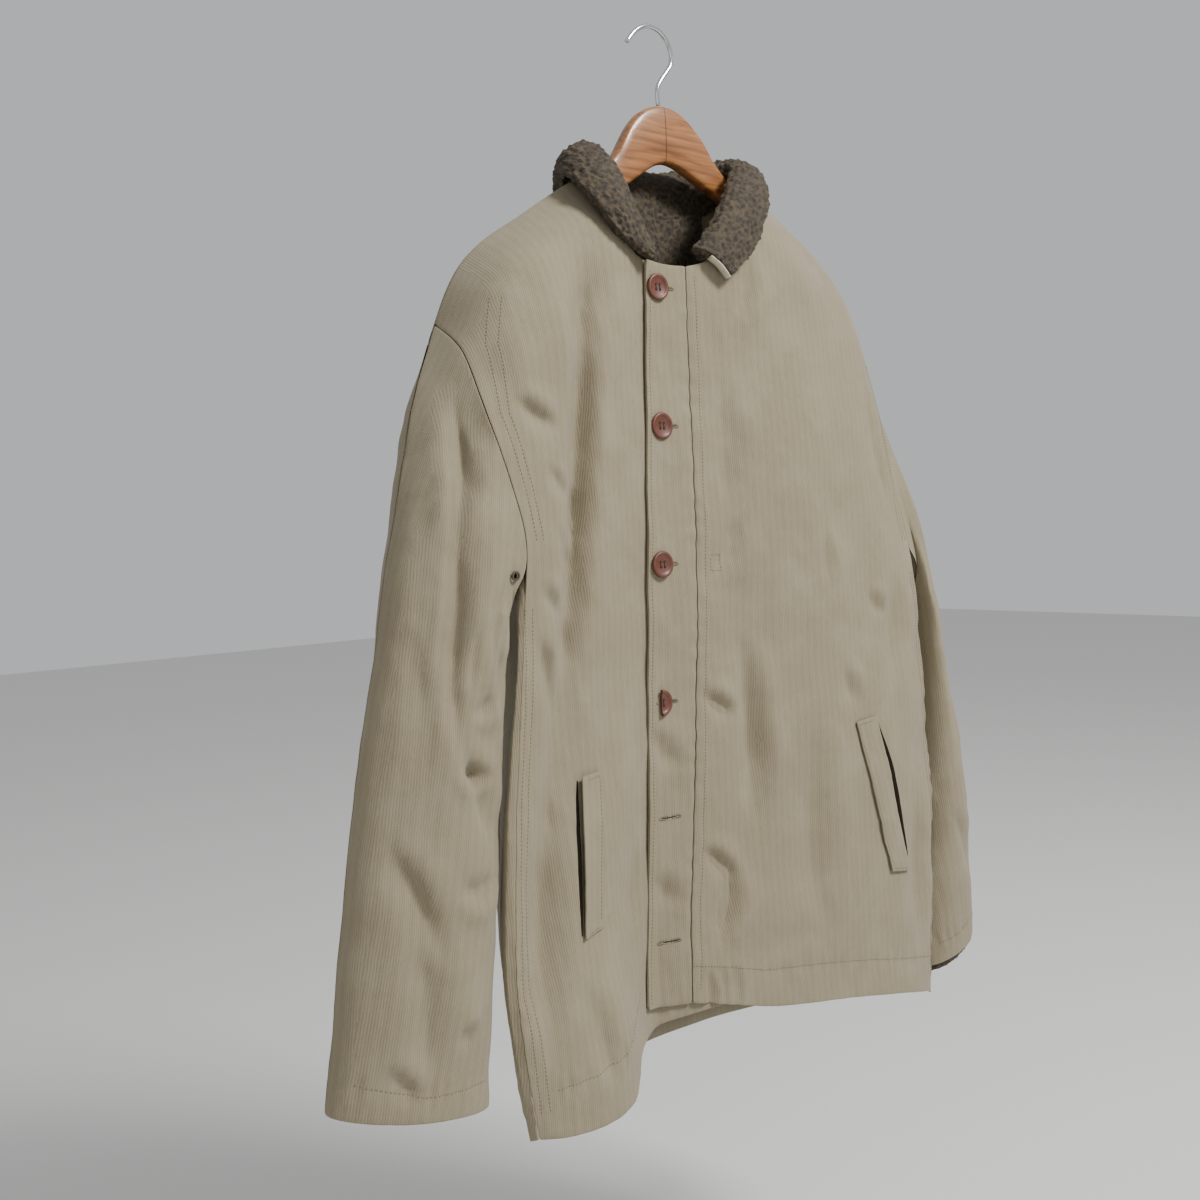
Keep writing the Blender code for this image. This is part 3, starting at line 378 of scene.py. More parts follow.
def cotton_material(name, dark, light, worn_colour, fading):
    material = bpy.data.materials.new(name)
    material.use_nodes = True
    tree = material.node_tree
    shader = tree.nodes["Principled BSDF"]
    weave = tree.nodes.new("ShaderNodeGroup")
    weave.node_tree = ribbed_cotton
    weave.inputs["Rib Scale"].default_value = RIBS
    weave.inputs["Fading"].default_value = fading
    cloth = tree.nodes.new("ShaderNodeMix")
    cloth.data_type = "RGBA"
    cloth.inputs["A"].default_value = dark
    cloth.inputs["B"].default_value = light
    faded = tree.nodes.new("ShaderNodeMix")
    faded.data_type = "RGBA"
    faded.inputs["B"].default_value = worn_colour
    relief = tree.nodes.new("ShaderNodeBump")
    relief.inputs["Strength"].default_value = 0.42
    relief.inputs["Distance"].default_value = 0.0006
    shader.inputs["Roughness"].default_value = 0.88
    shader.inputs["Sheen Weight"].default_value = 0.12
    shader.inputs["Specular IOR Level"].default_value = 0.2
    link = tree.links.new
    link(weave.outputs["Shade"], cloth.inputs["Factor"])
    link(cloth.outputs["Result"], faded.inputs["A"])
    link(weave.outputs["Worn"], faded.inputs["Factor"])
    link(faded.outputs["Result"], shader.inputs["Base Color"])
    link(weave.outputs["Height"], relief.inputs["Height"])
    link(relief.outputs["Normal"], shader.inputs["Normal"])
    return material


khaki = cotton_material("khaki cotton", KHAKI_DARK, KHAKI, KHAKI_WORN, 0.22)

# Each panel's flat cut: width, length and area of the cloth, and how finely it is rounded
PANELS = {
    "back": (0.640, 0.800, 0.467, 2),
    "front_right": (0.300, 0.740, 0.195, 3),
    "front_left": (0.350, 0.810, 0.2335, 3),
    "button_band": (0.054, 0.650, 0.0331, 3),
}
shells = {}
for node, (width, length, area, level) in PANELS.items():
    mesh = smooth_copy(node, level)
    points = points_of(mesh)
    out = calm(points, body_out(points), ARMHOLES, 0.03)
    rumple(points, out)
    joined = calm(points, out, SIDE_SEAMS, 0.014)
    if node == "back":
        joined *= np.clip((points[:, 1] + 0.03) / 0.02, 0, 1)[:, None]
    fold_in(points, joined, FOLDS[node])
    pucker(points, out, PUCKERS[node])
    put_points(mesh, points)
    lay_weave(mesh)
    shells[node] = dress(node + "_cloth", mesh, khaki, node)


# Sleeves: each a bent tube of the same cotton, cut in a front and a back and sewn into the
# armhole with a felled seam. The empty sleeves hang flat and fold at the armpit and the elbow.
SLEEVE_FOLDS = {
    "sleeve_right_front": (
        (((-0.252, -0.262), (-0.262, -0.330), (-0.272, -0.390), (-0.287, -0.450)), 0.0065, 0.008),
        (((-0.279, -0.400), (-0.2935, -0.489), (-0.3035, -0.553), (-0.298, -0.620)), 0.0060, 0.009),
        (((-0.296, -0.340), (-0.308, -0.420), (-0.322, -0.520), (-0.334, -0.600)), 0.0022, 0.011),
        (((-0.244, -0.470), (-0.262, -0.500), (-0.270, -0.545)), 0.0030, 0.006),
        (((-0.250, -0.500), (-0.258, -0.530), (-0.258, -0.580)), 0.0024, 0.005),
        (((-0.268, -0.620), (-0.285, -0.618), (-0.302, -0.604)), 0.0030, 0.005),
        (((-0.270, -0.690), (-0.290, -0.700), (-0.312, -0.690)), 0.0028, 0.006),
        (((-0.350, -0.700), (-0.338, -0.760), (-0.342, -0.830)), 0.0026, 0.010),
        (((-0.298, -0.586), (-0.282, -0.635), (-0.274, -0.671)), 0.003, 0.007),
        (((-0.362, -0.640), (-0.340, -0.700), (-0.318, -0.752)), 0.003, 0.008),
        (((-0.318, -0.795), (-0.308, -0.800), (-0.300, -0.806)), 0.002, 0.005),
        (((-0.372, -0.806), (-0.360, -0.822), (-0.345, -0.838)), 0.002, 0.006),
        (((-0.262, -0.560), (-0.276, -0.570), (-0.290, -0.574)), 0.002, 0.005),
        (((-0.330, -0.500), (-0.322, -0.570), (-0.330, -0.640)), 0.002, 0.010),
    ),
    "sleeve_right_back": (
        (((-0.250, -0.380), (-0.290, -0.470), (-0.310, -0.560)), 0.004, 0.009),
        (((-0.260, -0.560), (-0.300, -0.600), (-0.330, -0.620)), 0.003, 0.007),
        (((-0.300, -0.690), (-0.330, -0.740), (-0.350, -0.800)), 0.003, 0.008),
    ),
    "sleeve_left_front": (
        (((0.268, -0.400), (0.300, -0.480), (0.320, -0.560)), 0.003, 0.008),
        (((0.330, -0.560), (0.350, -0.620), (0.352, -0.700)), 0.003, 0.008),
        (((0.340, -0.760), (0.370, -0.800), (0.390, -0.850)), 0.002, 0.007),
    ),
    "sleeve_left_back": (
        (((0.270, -0.380), (0.300, -0.480), (0.325, -0.560)), 0.004, 0.009),
        (((0.320, -0.600), (0.345, -0.640), (0.370, -0.660)), 0.003, 0.007),
        (((0.340, -0.740), (0.365, -0.800), (0.380, -0.860)), 0.003, 0.008),
    ),
}
# The middle of each sleeve at the armhole and at the cuff: x, y and height; its lean, then the
# hem line of stitches that puckers
SLEEVE_LINES = {
    "right": ((-0.240, -0.037, -0.378), (-0.340, -0.066, -0.855), -0.205,
              ((-0.392, -0.818), (-0.340, -0.832), (-0.285, -0.838))),
    "left": ((0.267, -0.020, -0.384), (0.367, -0.014, -0.924), 0.18,
             ((0.405, -0.885), (0.365, -0.898), (0.322, -0.908))),
}
# The seam down the outside of each sleeve
OUTER_SEAMS = {
    "right": ((-0.248, -0.276), (-0.280, -0.338), (-0.309, -0.420), (-0.336, -0.522), (-0.360, -0.624),
              (-0.380, -0.730), (-0.399, -0.842)),
    "left": ((0.256, -0.280), (0.276, -0.348), (0.302, -0.432), (0.333, -0.540), (0.366, -0.650),
             (0.394, -0.770), (0.412, -0.912)),
}
SLEEVES = {
    "sleeve_right_front": (0.155, 0.580, 0.0699),
    "sleeve_right_back": (0.155, 0.580, 0.0700),
    "sleeve_left_front": (0.120, 0.660, 0.0524),
    "sleeve_left_back": (0.120, 0.660, 0.0544),
}


def sleeve_out(points, top, bottom):
    """Away from the sleeve's own middle line, level."""
    top, bottom = np.array(top), np.array(bottom)
    share = np.clip((points[:, 2] - top[2]) / (bottom[2] - top[2]), -0.3, 1)[:, None]
    middle = top + (bottom - top) * share + (HANG, 0, 0)
    out = points - middle
    out[:, 2] = 0
    return out / np.linalg.norm(out, axis=1)[:, None]


for node, (width, length, area) in SLEEVES.items():
    side = node.split("_")[1]
    top, bottom, lean, hem = SLEEVE_LINES[side]
    mesh = smooth_copy(node, 3)
    points = points_of(mesh)
    out = calm(points, sleeve_out(points, top, bottom), ARMHOLES, 0.03)
    rumple(points, out, 0.0019)
    joined = calm(points, out, (OUTER_SEAMS[side],), 0.014)
    fold_in(points, joined * np.clip(np.abs(out[:, 1:2]) / 0.45, 0, 1), SLEEVE_FOLDS[node])
    pucker(points, out, ((hem, 0.0006, 0.014, 0.009),))
    put_points(mesh, points)
    lay_weave(mesh, lean)
    shells[node] = dress(node + "_cloth", mesh, khaki, node)


# Pockets: a slanted welt of the same cotton on each front, stitched down at both ends, beside a slit
# that gapes a little; a near-black sheet in the slit is partly the dark pile behind it and partly
# painted shade.
POCKETS = {
    "pocket_welt_right": (0.024, 0.122, 0.00275),
    "pocket_welt_left": (0.033, 0.164, 0.0050),
}
for node, (width, length, area) in POCKETS.items():
    mesh = smooth_copy(node, 3)
    points = points_of(mesh)
    out = body_out(points)
    rumple(points, out)
    fold_in(points, out, FOLDS["front_right" if "right" in node else "front_left"])
    put_points(mesh, points)
    lay_weave(mesh, -0.12 if "right" in node else 0.25)
    shells[node] = dress(node + "_cloth", mesh, khaki, node)


# Collar, neck lining and cuff lining: dark brown curly pile, like sheepskin, whose tufts stand
# two or three millimetres out of the backing and catch a little light on their tips.
PILE_DEEP = (0.012, 0.008, 0.004, 1.0)
PILE_TIP = (0.078, 0.054, 0.025, 1.0)
TUFT = 0.0052
# The lining runs up over the collar's seam at the back of the neck
NECK_SEAM = -0.156
SEAM_COVER = 0.009
# The collar's foot reaches down into its seam along the back of the neck
BACK_NECK = ((-0.100, -0.144), (-0.080, -0.151), (-0.040, -0.158), (0.020, -0.158), (0.070, -0.146),
             (0.100, -0.126))
FOOT_REACH = 0.006
TUFT_RISE = 0.0032


def pile_material():
    material = bpy.data.materials.new("brown curly pile")
    material.use_nodes = True
    tree = material.node_tree
    shader = tree.nodes["Principled BSDF"]
    place = tree.nodes.new("ShaderNodeTexCoord")
    curls = tree.nodes.new("ShaderNodeTexNoise")
    curls.inputs["Scale"].default_value = 420
    curls.inputs["Detail"].default_value = 6.0
    curls.inputs["Distortion"].default_value = 2.5
    tufts = tree.nodes.new("ShaderNodeTexVoronoi")
    tufts.inputs["Scale"].default_value = 230
    both = tree.nodes.new("ShaderNodeMath")
    both.operation = "MULTIPLY"
    tone = tree.nodes.new("ShaderNodeMapRange")
    tone.inputs["From Min"].default_value = 0.10
    tone.inputs["From Max"].default_value = 0.42
    lit = tree.nodes.new("ShaderNodeMix")
    lit.data_type = "RGBA"
    lit.inputs["A"].default_value = PILE_DEEP
    lit.inputs["B"].default_value = PILE_TIP
    relief = tree.nodes.new("ShaderNodeBump")
    relief.inputs["Strength"].default_value = 0.9
    relief.inputs["Distance"].default_value = 0.0016
    shader.inputs["Roughness"].default_value = 0.75
    shader.inputs["Sheen Weight"].default_value = 0.08
    shader.inputs["Sheen Tint"].default_value = (0.6, 0.5, 0.38, 1.0)
    link = tree.links.new
    link(place.outputs["Object"], curls.inputs["Vector"])
    link(place.outputs["Object"], tufts.inputs["Vector"])
    link(curls.outputs["Fac"], both.inputs[0])
    link(tufts.outputs["Distance"], both.inputs[1])
    link(both.outputs["Value"], tone.inputs["Value"])
    link(tone.outputs["Result"], lit.inputs["Factor"])
    link(lit.outputs["Result"], shader.inputs["Base Color"])
    link(curls.outputs["Fac"], relief.inputs["Height"])
    link(relief.outputs["Normal"], shader.inputs["Normal"])
    return material


brown_pile = pile_material()


def raise_tufts(mesh, rise, inset):
    """Tufts stand out along the surface; the backing sinks by the inset to keep the outline."""
    points = points_of(mesh)
    normals = np.empty(len(points) * 3)
    mesh.vertices.foreach_get("normal", normals)
    normals = normals.reshape(-1, 3)
    lift = []
    for point in points:
        here = Vector(point)
        twist = noise.noise_vector(here / 0.006) * 0.0016
        near = noise.voronoi((here + twist) / TUFT)[0][0]
        curl = noise.noise(here / 0.0021)
        lift.append((1 - 1.5 * near) * 0.8 + 0.25 * curl)
    points += normals * (np.array(lift) * rise - inset)[:, None]
    put_points(mesh, points)


for node, level, longer, size in (("collar", 3, 0, (0.560, 0.095, 0.0446)),
                                  ("neck_lining", 3, 1, (0.128, 0.070, 0.0083)),
                                  ("cuff_lining_left", 3, 0, (0.190, 0.045, 0.0080))):
    mesh = smooth_copy(node, level, longer)
    if node == "neck_lining":
        points = points_of(mesh)
        high = np.clip((points[:, 2] - NECK_SEAM + 0.018) / 0.018, 0, 1)
        points[:, 2] += SEAM_COVER * high * high
        put_points(mesh, points)
    if node == "collar":
        points = points_of(mesh)
        far = from_line(points, BACK_NECK)[0]
        foot = np.clip(1 - far / 0.014, 0, 1) * (points[:, 1] > 0)
        points[:, 2] -= FOOT_REACH * foot
        put_points(mesh, points)
    raise_tufts(mesh, TUFT_RISE if node == "collar" else 0.0012, 0.0008 if node == "collar" else 0.0004)
    piece = dress(node + "_pile", mesh, brown_pile, node)


# Stitching: rows of khaki thread, three millimetres to a stitch, along the band, the hems, the
# felled side and armhole seams and round the pockets. Each row lies in the cloth it sews.
STITCH = 0.0031
THREAD_THICK = 0.00034
THREAD = (0.190, 0.155, 0.095, 1.0)
THREAD_BROWN = (0.060, 0.040, 0.024, 1.0)


def plain_material(name, colour, roughness, metallic=0.0):
    material = bpy.data.materials.new(name)
    material.use_nodes = True
    shader = material.node_tree.nodes["Principled BSDF"]
    shader.inputs["Base Color"].default_value = colour
    shader.inputs["Roughness"].default_value = roughness
    shader.inputs["Metallic"].default_value = metallic
    return material


thread = plain_material("khaki thread", THREAD, 0.7)
brown_thread = plain_material("brown thread", THREAD_BROWN, 0.7)


def tree_of(*names):
    """What stitches and buttons are laid on: the pressed cloth of these pieces."""
    bm = bmesh.new()
    for name in names:
        bm.from_mesh(shells[name].data)
    tree = BVHTree.FromBMesh(bm)
    bm.free()
    return tree


def on_cloth(tree, x, height, behind=False):
    """Where a line of sight from the front, or from behind, meets the cloth, and its facing."""
    start = Vector((x + HANG, 0.4 if behind else -0.4, height))
    here, facing, index, far = tree.ray_cast(start, Vector((0, -1 if behind else 1, 0)))
    return here, facing


def evenly(line, step):
    """Points along a line seen from the front, one step apart."""
    corners = np.array(line)
    runs = np.concatenate([[0], np.cumsum(np.hypot(*np.diff(corners, axis=0).T))])
    places = np.arange(step / 2, runs[-1], step)
    return np.stack([np.interp(places, runs, corners[:, 0]), np.interp(places, runs, corners[:, 1])], 1)


def sew(name, tree, lines, material, behind=False, length=0.0023, thick=THREAD_THICK):
    bm = bmesh.new()
    for line in lines:
        for (x, z), (x1, z1) in zip(evenly(line, STITCH), evenly(line, STITCH)[1:]):
            here, facing = on_cloth(tree, x, z, behind)
            after, turned = on_cloth(tree, x1, z1, behind)
            if here is None or after is None or (after - here).length > 3 * STITCH:
                continue
            along = (after - here).normalized()
            across = facing.cross(along).normalized()
            basis = Matrix((along, across, facing.normalized())).transposed().to_4x4()
            made = bmesh.ops.create_icosphere(bm, subdivisions=1, radius=1.0)["verts"]
            bmesh.ops.scale(bm, vec=(length / 2, thick * 1.3, thick), verts=made)
            bmesh.ops.transform(bm, matrix=Matrix.Translation(here + facing * thick * 0.5) @ basis,
                                verts=made)
    mesh = bpy.data.meshes.new(name)
    bm.to_mesh(mesh)
    bm.free()
    return dress(name, mesh, material, None)


fronts = tree_of("front_right", "front_left", "button_band")
behind_tree = tree_of("back")
right_sleeve = tree_of("sleeve_right_front", "sleeve_right_back")
left_sleeve = tree_of("sleeve_left_front", "sleeve_left_back")
with_welts = tree_of("front_right", "front_left", "pocket_welt_right", "pocket_welt_left")


def beside(line, gap):
    """The same line, moved sideways."""
    return tuple((x + gap, z) for x, z in line)


BAND_SEAM = ((-0.0145, -0.226), (-0.018, -0.370), (-0.022, -0.474), (-0.030, -0.595), (-0.037, -0.682),
             (-0.046, -0.820), (-0.049, -0.855))
BAND_EDGE = ((-0.058, -0.225), (-0.069, -0.370), (-0.075, -0.460), (-0.081, -0.590), (-0.083, -0.690),
             (-0.088, -0.795), (-0.092, -0.855))
RIGHT_HEM = ((-0.235, -0.862), (-0.200, -0.861), (-0.166, -0.855), (-0.140, -0.845), (-0.105, -0.835))
LEFT_HEM = ((-0.050, -0.828), (-0.010, -0.838), (0.030, -0.850), (0.086, -0.857), (0.167, -0.872),
            (0.240, -0.890), (0.285, -0.905))
RIGHT_SIDE = ((-0.233, -0.500), (-0.238, -0.570), (-0.251, -0.690), (-0.257, -0.785), (-0.248, -0.880))
LEFT_SIDE = ((0.272, -0.500), (0.286, -0.600), (0.292, -0.740), (0.289, -0.930))
RIGHT_HOLE = ((-0.222, -0.262), (-0.234, -0.300), (-0.238, -0.354), (-0.226, -0.410), (-0.219, -0.455))
MENDED_SQUARE = ((-0.010, -0.470), (0.002, -0.470), (0.002, -0.484), (-0.010, -0.484), (-0.010, -0.470))
LEFT_HOLE = ((0.243, -0.290), (0.250, -0.350), (0.254, -0.410), (0.264, -0.470))
sew("front_stitching", fronts,
    (beside(BAND_SEAM, 0.006), BAND_EDGE, RIGHT_HEM, LEFT_HEM, RIGHT_SIDE, beside(RIGHT_SIDE, 0.007),
     LEFT_SIDE, beside(LEFT_SIDE, -0.007), RIGHT_HOLE, beside(RIGHT_HOLE, 0.007), LEFT_HOLE,
     beside(LEFT_HOLE, -0.007), MENDED_SQUARE), thread)
sew("back_stitching", behind_tree,
    (((-0.225, -0.862), (0.020, -0.882), (0.270, -0.905)),
     ((-0.205, -0.480), (-0.205, -0.880)), ((0.258, -0.480), (0.262, -0.890))), thread,
    behind=True)
sew("right_sleeve_stitching", right_sleeve,
    (((-0.386, -0.818), (-0.340, -0.835), (-0.288, -0.840)),), thread)
sew("left_sleeve_stitching", left_sleeve,
    (((0.400, -0.886), (0.362, -0.902), (0.330, -0.910)),), thread)
sew("pocket_stitching", with_welts,
    (((-0.1585, -0.640), (-0.1725, -0.755)), ((-0.158, -0.6395), (-0.177, -0.6405)),
     ((-0.172, -0.7555), (-0.193, -0.7565)),
     ((0.1565, -0.6405), (0.1995, -0.789)), ((0.157, -0.641), (0.181, -0.6395)),
     ((0.200, -0.789), (0.224, -0.7935))), thread)


# Pocket openings: the slit beside each welt gapes by a few millimetres. A near-black sheet laid on the
# cloth along it is partly the dark pile behind it and partly painted shade in the gap.
SLITS = {
    "right_pocket_gap_lining_and_shade": ((-0.1812, -0.640), (-0.1905, -0.698), (-0.1975, -0.756), 0.0018),
    "left_pocket_gap_lining_and_shade": ((0.1868, -0.640), (0.2105, -0.716), (0.2290, -0.793), 0.0046),
}
# Near-black: partly the dark lining, partly painted shade in the openings; the eyelet's hole uses it
# too.
dark_lining_and_painted_shade = plain_material("dark lining and painted shade", (0.012, 0.009, 0.006, 1.0), 1.0)
dark_lining_and_painted_shade.node_tree.nodes["Principled BSDF"].inputs["Specular IOR Level"].default_value = 0.05
for name, (top, middle, bottom, half) in SLITS.items():
    bm = bmesh.new()
    bmesh.ops.create_grid(bm, x_segments=1, y_segments=24, size=1.0)
    for vert in bm.verts:
        share = (1 - vert.co.y) / 2
        x, z = [(1 - share) ** 2 * a + 2 * share * (1 - share) * (2 * b - (a + c) / 2) + share**2 * c
                for a, b, c in zip(top, middle, bottom)]
        width = half * math.sin(math.pi * min(max(share, 0.02), 0.98)) ** 0.6
        here, facing = on_cloth(fronts, x + vert.co.x * width, z)
        vert.co = here + facing * 0.0005
    mesh = bpy.data.meshes.new(name)
    bm.to_mesh(mesh)
    bm.free()
    piece = dress(name, mesh, dark_lining_and_painted_shade, None)
    wall = piece.modifiers.new("Thickness", "SOLIDIFY")
    wall.thickness = 0.0004


# Buttons and buttonholes: turned dark red-brown buttons with a raised rim and four holes, sewn with
# thread, each in a worked buttonhole that runs across the band; two stand empty. The holes and the
# buttonhole slits are near-black shapes of painted shade.
BUTTON_RADIUS = 0.0115
BUTTON_RED = (0.200, 0.060, 0.036, 1.0)
HOLE_OUT = 0.0021
HOLE_SIZE = 0.0012
BUTTONHOLE = (0.0245, 0.0021)
EMPTY_HOLES = ((-0.066, -0.694), (-0.070, -0.803))


def button_material():
    material = plain_material("red-brown button", BUTTON_RED, 0.5)
    tree = material.node_tree
    shader = tree.nodes["Principled BSDF"]
    place = tree.nodes.new("ShaderNodeTexCoord")
    cloud = tree.nodes.new("ShaderNodeTexNoise")
    cloud.inputs["Scale"].default_value = 240
    cloud.inputs["Detail"].default_value = 5.0
    tone = tree.nodes.new("ShaderNodeMix")
    tone.data_type = "RGBA"
    tone.inputs["A"].default_value = (0.055, 0.015, 0.008, 1.0)
    tone.inputs["B"].default_value = (0.150, 0.042, 0.020, 1.0)
    tree.links.new(place.outputs["Object"], cloud.inputs["Vector"])
    tree.links.new(cloud.outputs["Fac"], tone.inputs["Factor"])
    tree.links.new(tone.outputs["Result"], shader.inputs["Base Color"])
    shader.inputs["Coat Weight"].default_value = 0.06
    return material


button_red = button_material()
# Near-black: painted shade in the button holes and the buttonhole slits.
painted_hole_shade = plain_material("button hole", (0.012, 0.006, 0.005, 1.0), 0.9)


def facing_matrix(centre, facing):
    return Matrix.Translation(centre) @ facing.to_track_quat("Z", "Y").to_matrix().to_4x4()


for number in range(1, 5):
    node = "button_%d" % number
    low, high = [Vector(corner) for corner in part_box(node)]
    centre = (low + high) / 2
    if number == 4:
        centre.x = low.x
    here, facing = on_cloth(fronts, centre.x - HANG, centre.z)
    facing = (facing + Vector((0, -1, 0)) * 2).normalized()
    centre.y = (low.y + high.y) / 2 + 0.0017
    bm = bmesh.new()
    profile = ((0.0, 0.0019), (0.0070, 0.0018), (0.0080, 0.0024), (0.0090, 0.0032), (0.0102, 0.0034),
               (0.0112, 0.0028), (BUTTON_RADIUS, 0.0016), (0.0110, 0.0004), (0.0098, 0.0), (0.0, 0.0))
    line = [bm.verts.new((r, 0.0, z)) for r, z in profile]
    edges = [bm.edges.new(pair) for pair in zip(line, line[1:])]
    bmesh.ops.spin(bm, geom=line + edges, cent=(0, 0, 0), axis=(0, 0, 1), angle=2 * math.pi,
                   steps=48, use_merge=True)
    bmesh.ops.remove_doubles(bm, verts=bm.verts[:], dist=1e-5)
    bmesh.ops.transform(bm, matrix=facing_matrix(centre, facing), verts=bm.verts[:])
    if number == 4:
        bmesh.ops.bisect_plane(bm, geom=bm.verts[:] + bm.edges[:] + bm.faces[:], plane_co=centre,
                               plane_no=(1, 0, 0), clear_inner=True)
        bmesh.ops.holes_fill(bm, edges=[edge for edge in bm.edges if edge.is_boundary], sides=0)
    bmesh.ops.recalc_face_normals(bm, faces=bm.faces[:])
    mesh = bpy.data.meshes.new(node + "_turned")
    bm.to_mesh(mesh)
    bm.free()
    dress(node + "_turned", mesh, button_red, node)
    # Painted shade in the four holes: a thin near-black disc in each hole's place.
    bm = bmesh.new()
    for across in (-1, 1):
        for down in (-1, 1):
            if number == 4 and across < 0:
                continue
            made = bmesh.ops.create_cone(bm, cap_ends=True, segments=14, radius1=HOLE_SIZE,
                                         radius2=HOLE_SIZE, depth=0.0004)["verts"]
            bmesh.ops.translate(bm, vec=(across * HOLE_OUT, down * HOLE_OUT, 0.00195), verts=made)
    bmesh.ops.transform(bm, matrix=facing_matrix(centre, facing), verts=bm.verts[:])
    mesh = bpy.data.meshes.new(node + "_hole_discs_shade")
    bm.to_mesh(mesh)
    bm.free()
    dress(node + "_hole_discs_shade", mesh, painted_hole_shade, None)
    bm = bmesh.new()
    for across in (-1, 1):
        if number == 4 and across < 0:
            continue
        made = bmesh.ops.create_icosphere(bm, subdivisions=2, radius=1.0)["verts"]
        bmesh.ops.scale(bm, vec=(0.0006, HOLE_OUT * 1.15, 0.0006), verts=made)
        bmesh.ops.translate(bm, vec=(across * HOLE_OUT, 0, 0.0021), verts=made)
    bmesh.ops.transform(bm, matrix=facing_matrix(centre, facing), verts=bm.verts[:])
    mesh = bpy.data.meshes.new(node + "_thread")
    bm.to_mesh(mesh)
    bm.free()
    dress(node + "_thread", mesh, brown_thread, None)

buttonholes = []
for number in range(1, 5):
    low, high = [Vector(corner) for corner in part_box("button_%d" % number)]
    middle = (low + high) / 2
    start = low.x - HANG if number == 4 else middle.x - HANG
    buttonholes.append((start + 0.008, middle.z))
buttonholes += list(EMPTY_HOLES)
bm = bmesh.new()
for x, z in buttonholes:
    turns = 46
    for turn in range(turns):
        angle = 2 * math.pi * turn / turns
        half, rise = BUTTONHOLE[0] / 2, BUTTONHOLE[1]
        u = math.copysign(abs(math.cos(angle)) ** 0.55, math.cos(angle)) * (half - 0.001)
        w = math.copysign(abs(math.sin(angle)) ** 0.9, math.sin(angle)) * rise * 0.62
        here, facing = on_cloth(fronts, x + u, z + w)
        if here is None:
            continue
        made = bmesh.ops.create_icosphere(bm, subdivisions=1, radius=1.0)["verts"]
        bmesh.ops.scale(bm, vec=(0.00042, 0.00095, 0.00042), verts=made)
        bmesh.ops.transform(bm, matrix=facing_matrix(here + facing * 0.0002, facing), verts=made)
mesh = bpy.data.meshes.new("buttonhole_stitching")
bm.to_mesh(mesh)
bm.free()
dress("buttonhole_stitching", mesh, thread, None)
# Painted shade in each buttonhole's slit: a near-black sliver laid on the band.
bm = bmesh.new()
for x, z in buttonholes:
    here, facing = on_cloth(fronts, x, z)
    made = bmesh.ops.create_icosphere(bm, subdivisions=2, radius=1.0)["verts"]
    bmesh.ops.scale(bm, vec=(BUTTONHOLE[0] / 2 - 0.0022, 0.00045, 0.0003), verts=made)
    bmesh.ops.transform(bm, matrix=facing_matrix(here + facing * 0.0002, facing), verts=made)
mesh = bpy.data.meshes.new("buttonhole_slits")
bm.to_mesh(mesh)
bm.free()
dress("buttonhole_slits", mesh, painted_hole_shade, None)


# Hanger: two arms of varnished hardwood, mitred together at the top, their grain running out
# along each arm, and a chromed wire hook screwed into the joint.
WOOD_DARK = (0.150, 0.052, 0.014, 1.0)
WOOD_LIGHT = (0.370, 0.155, 0.050, 1.0)
ARM_SLOPE = math.radians(41)


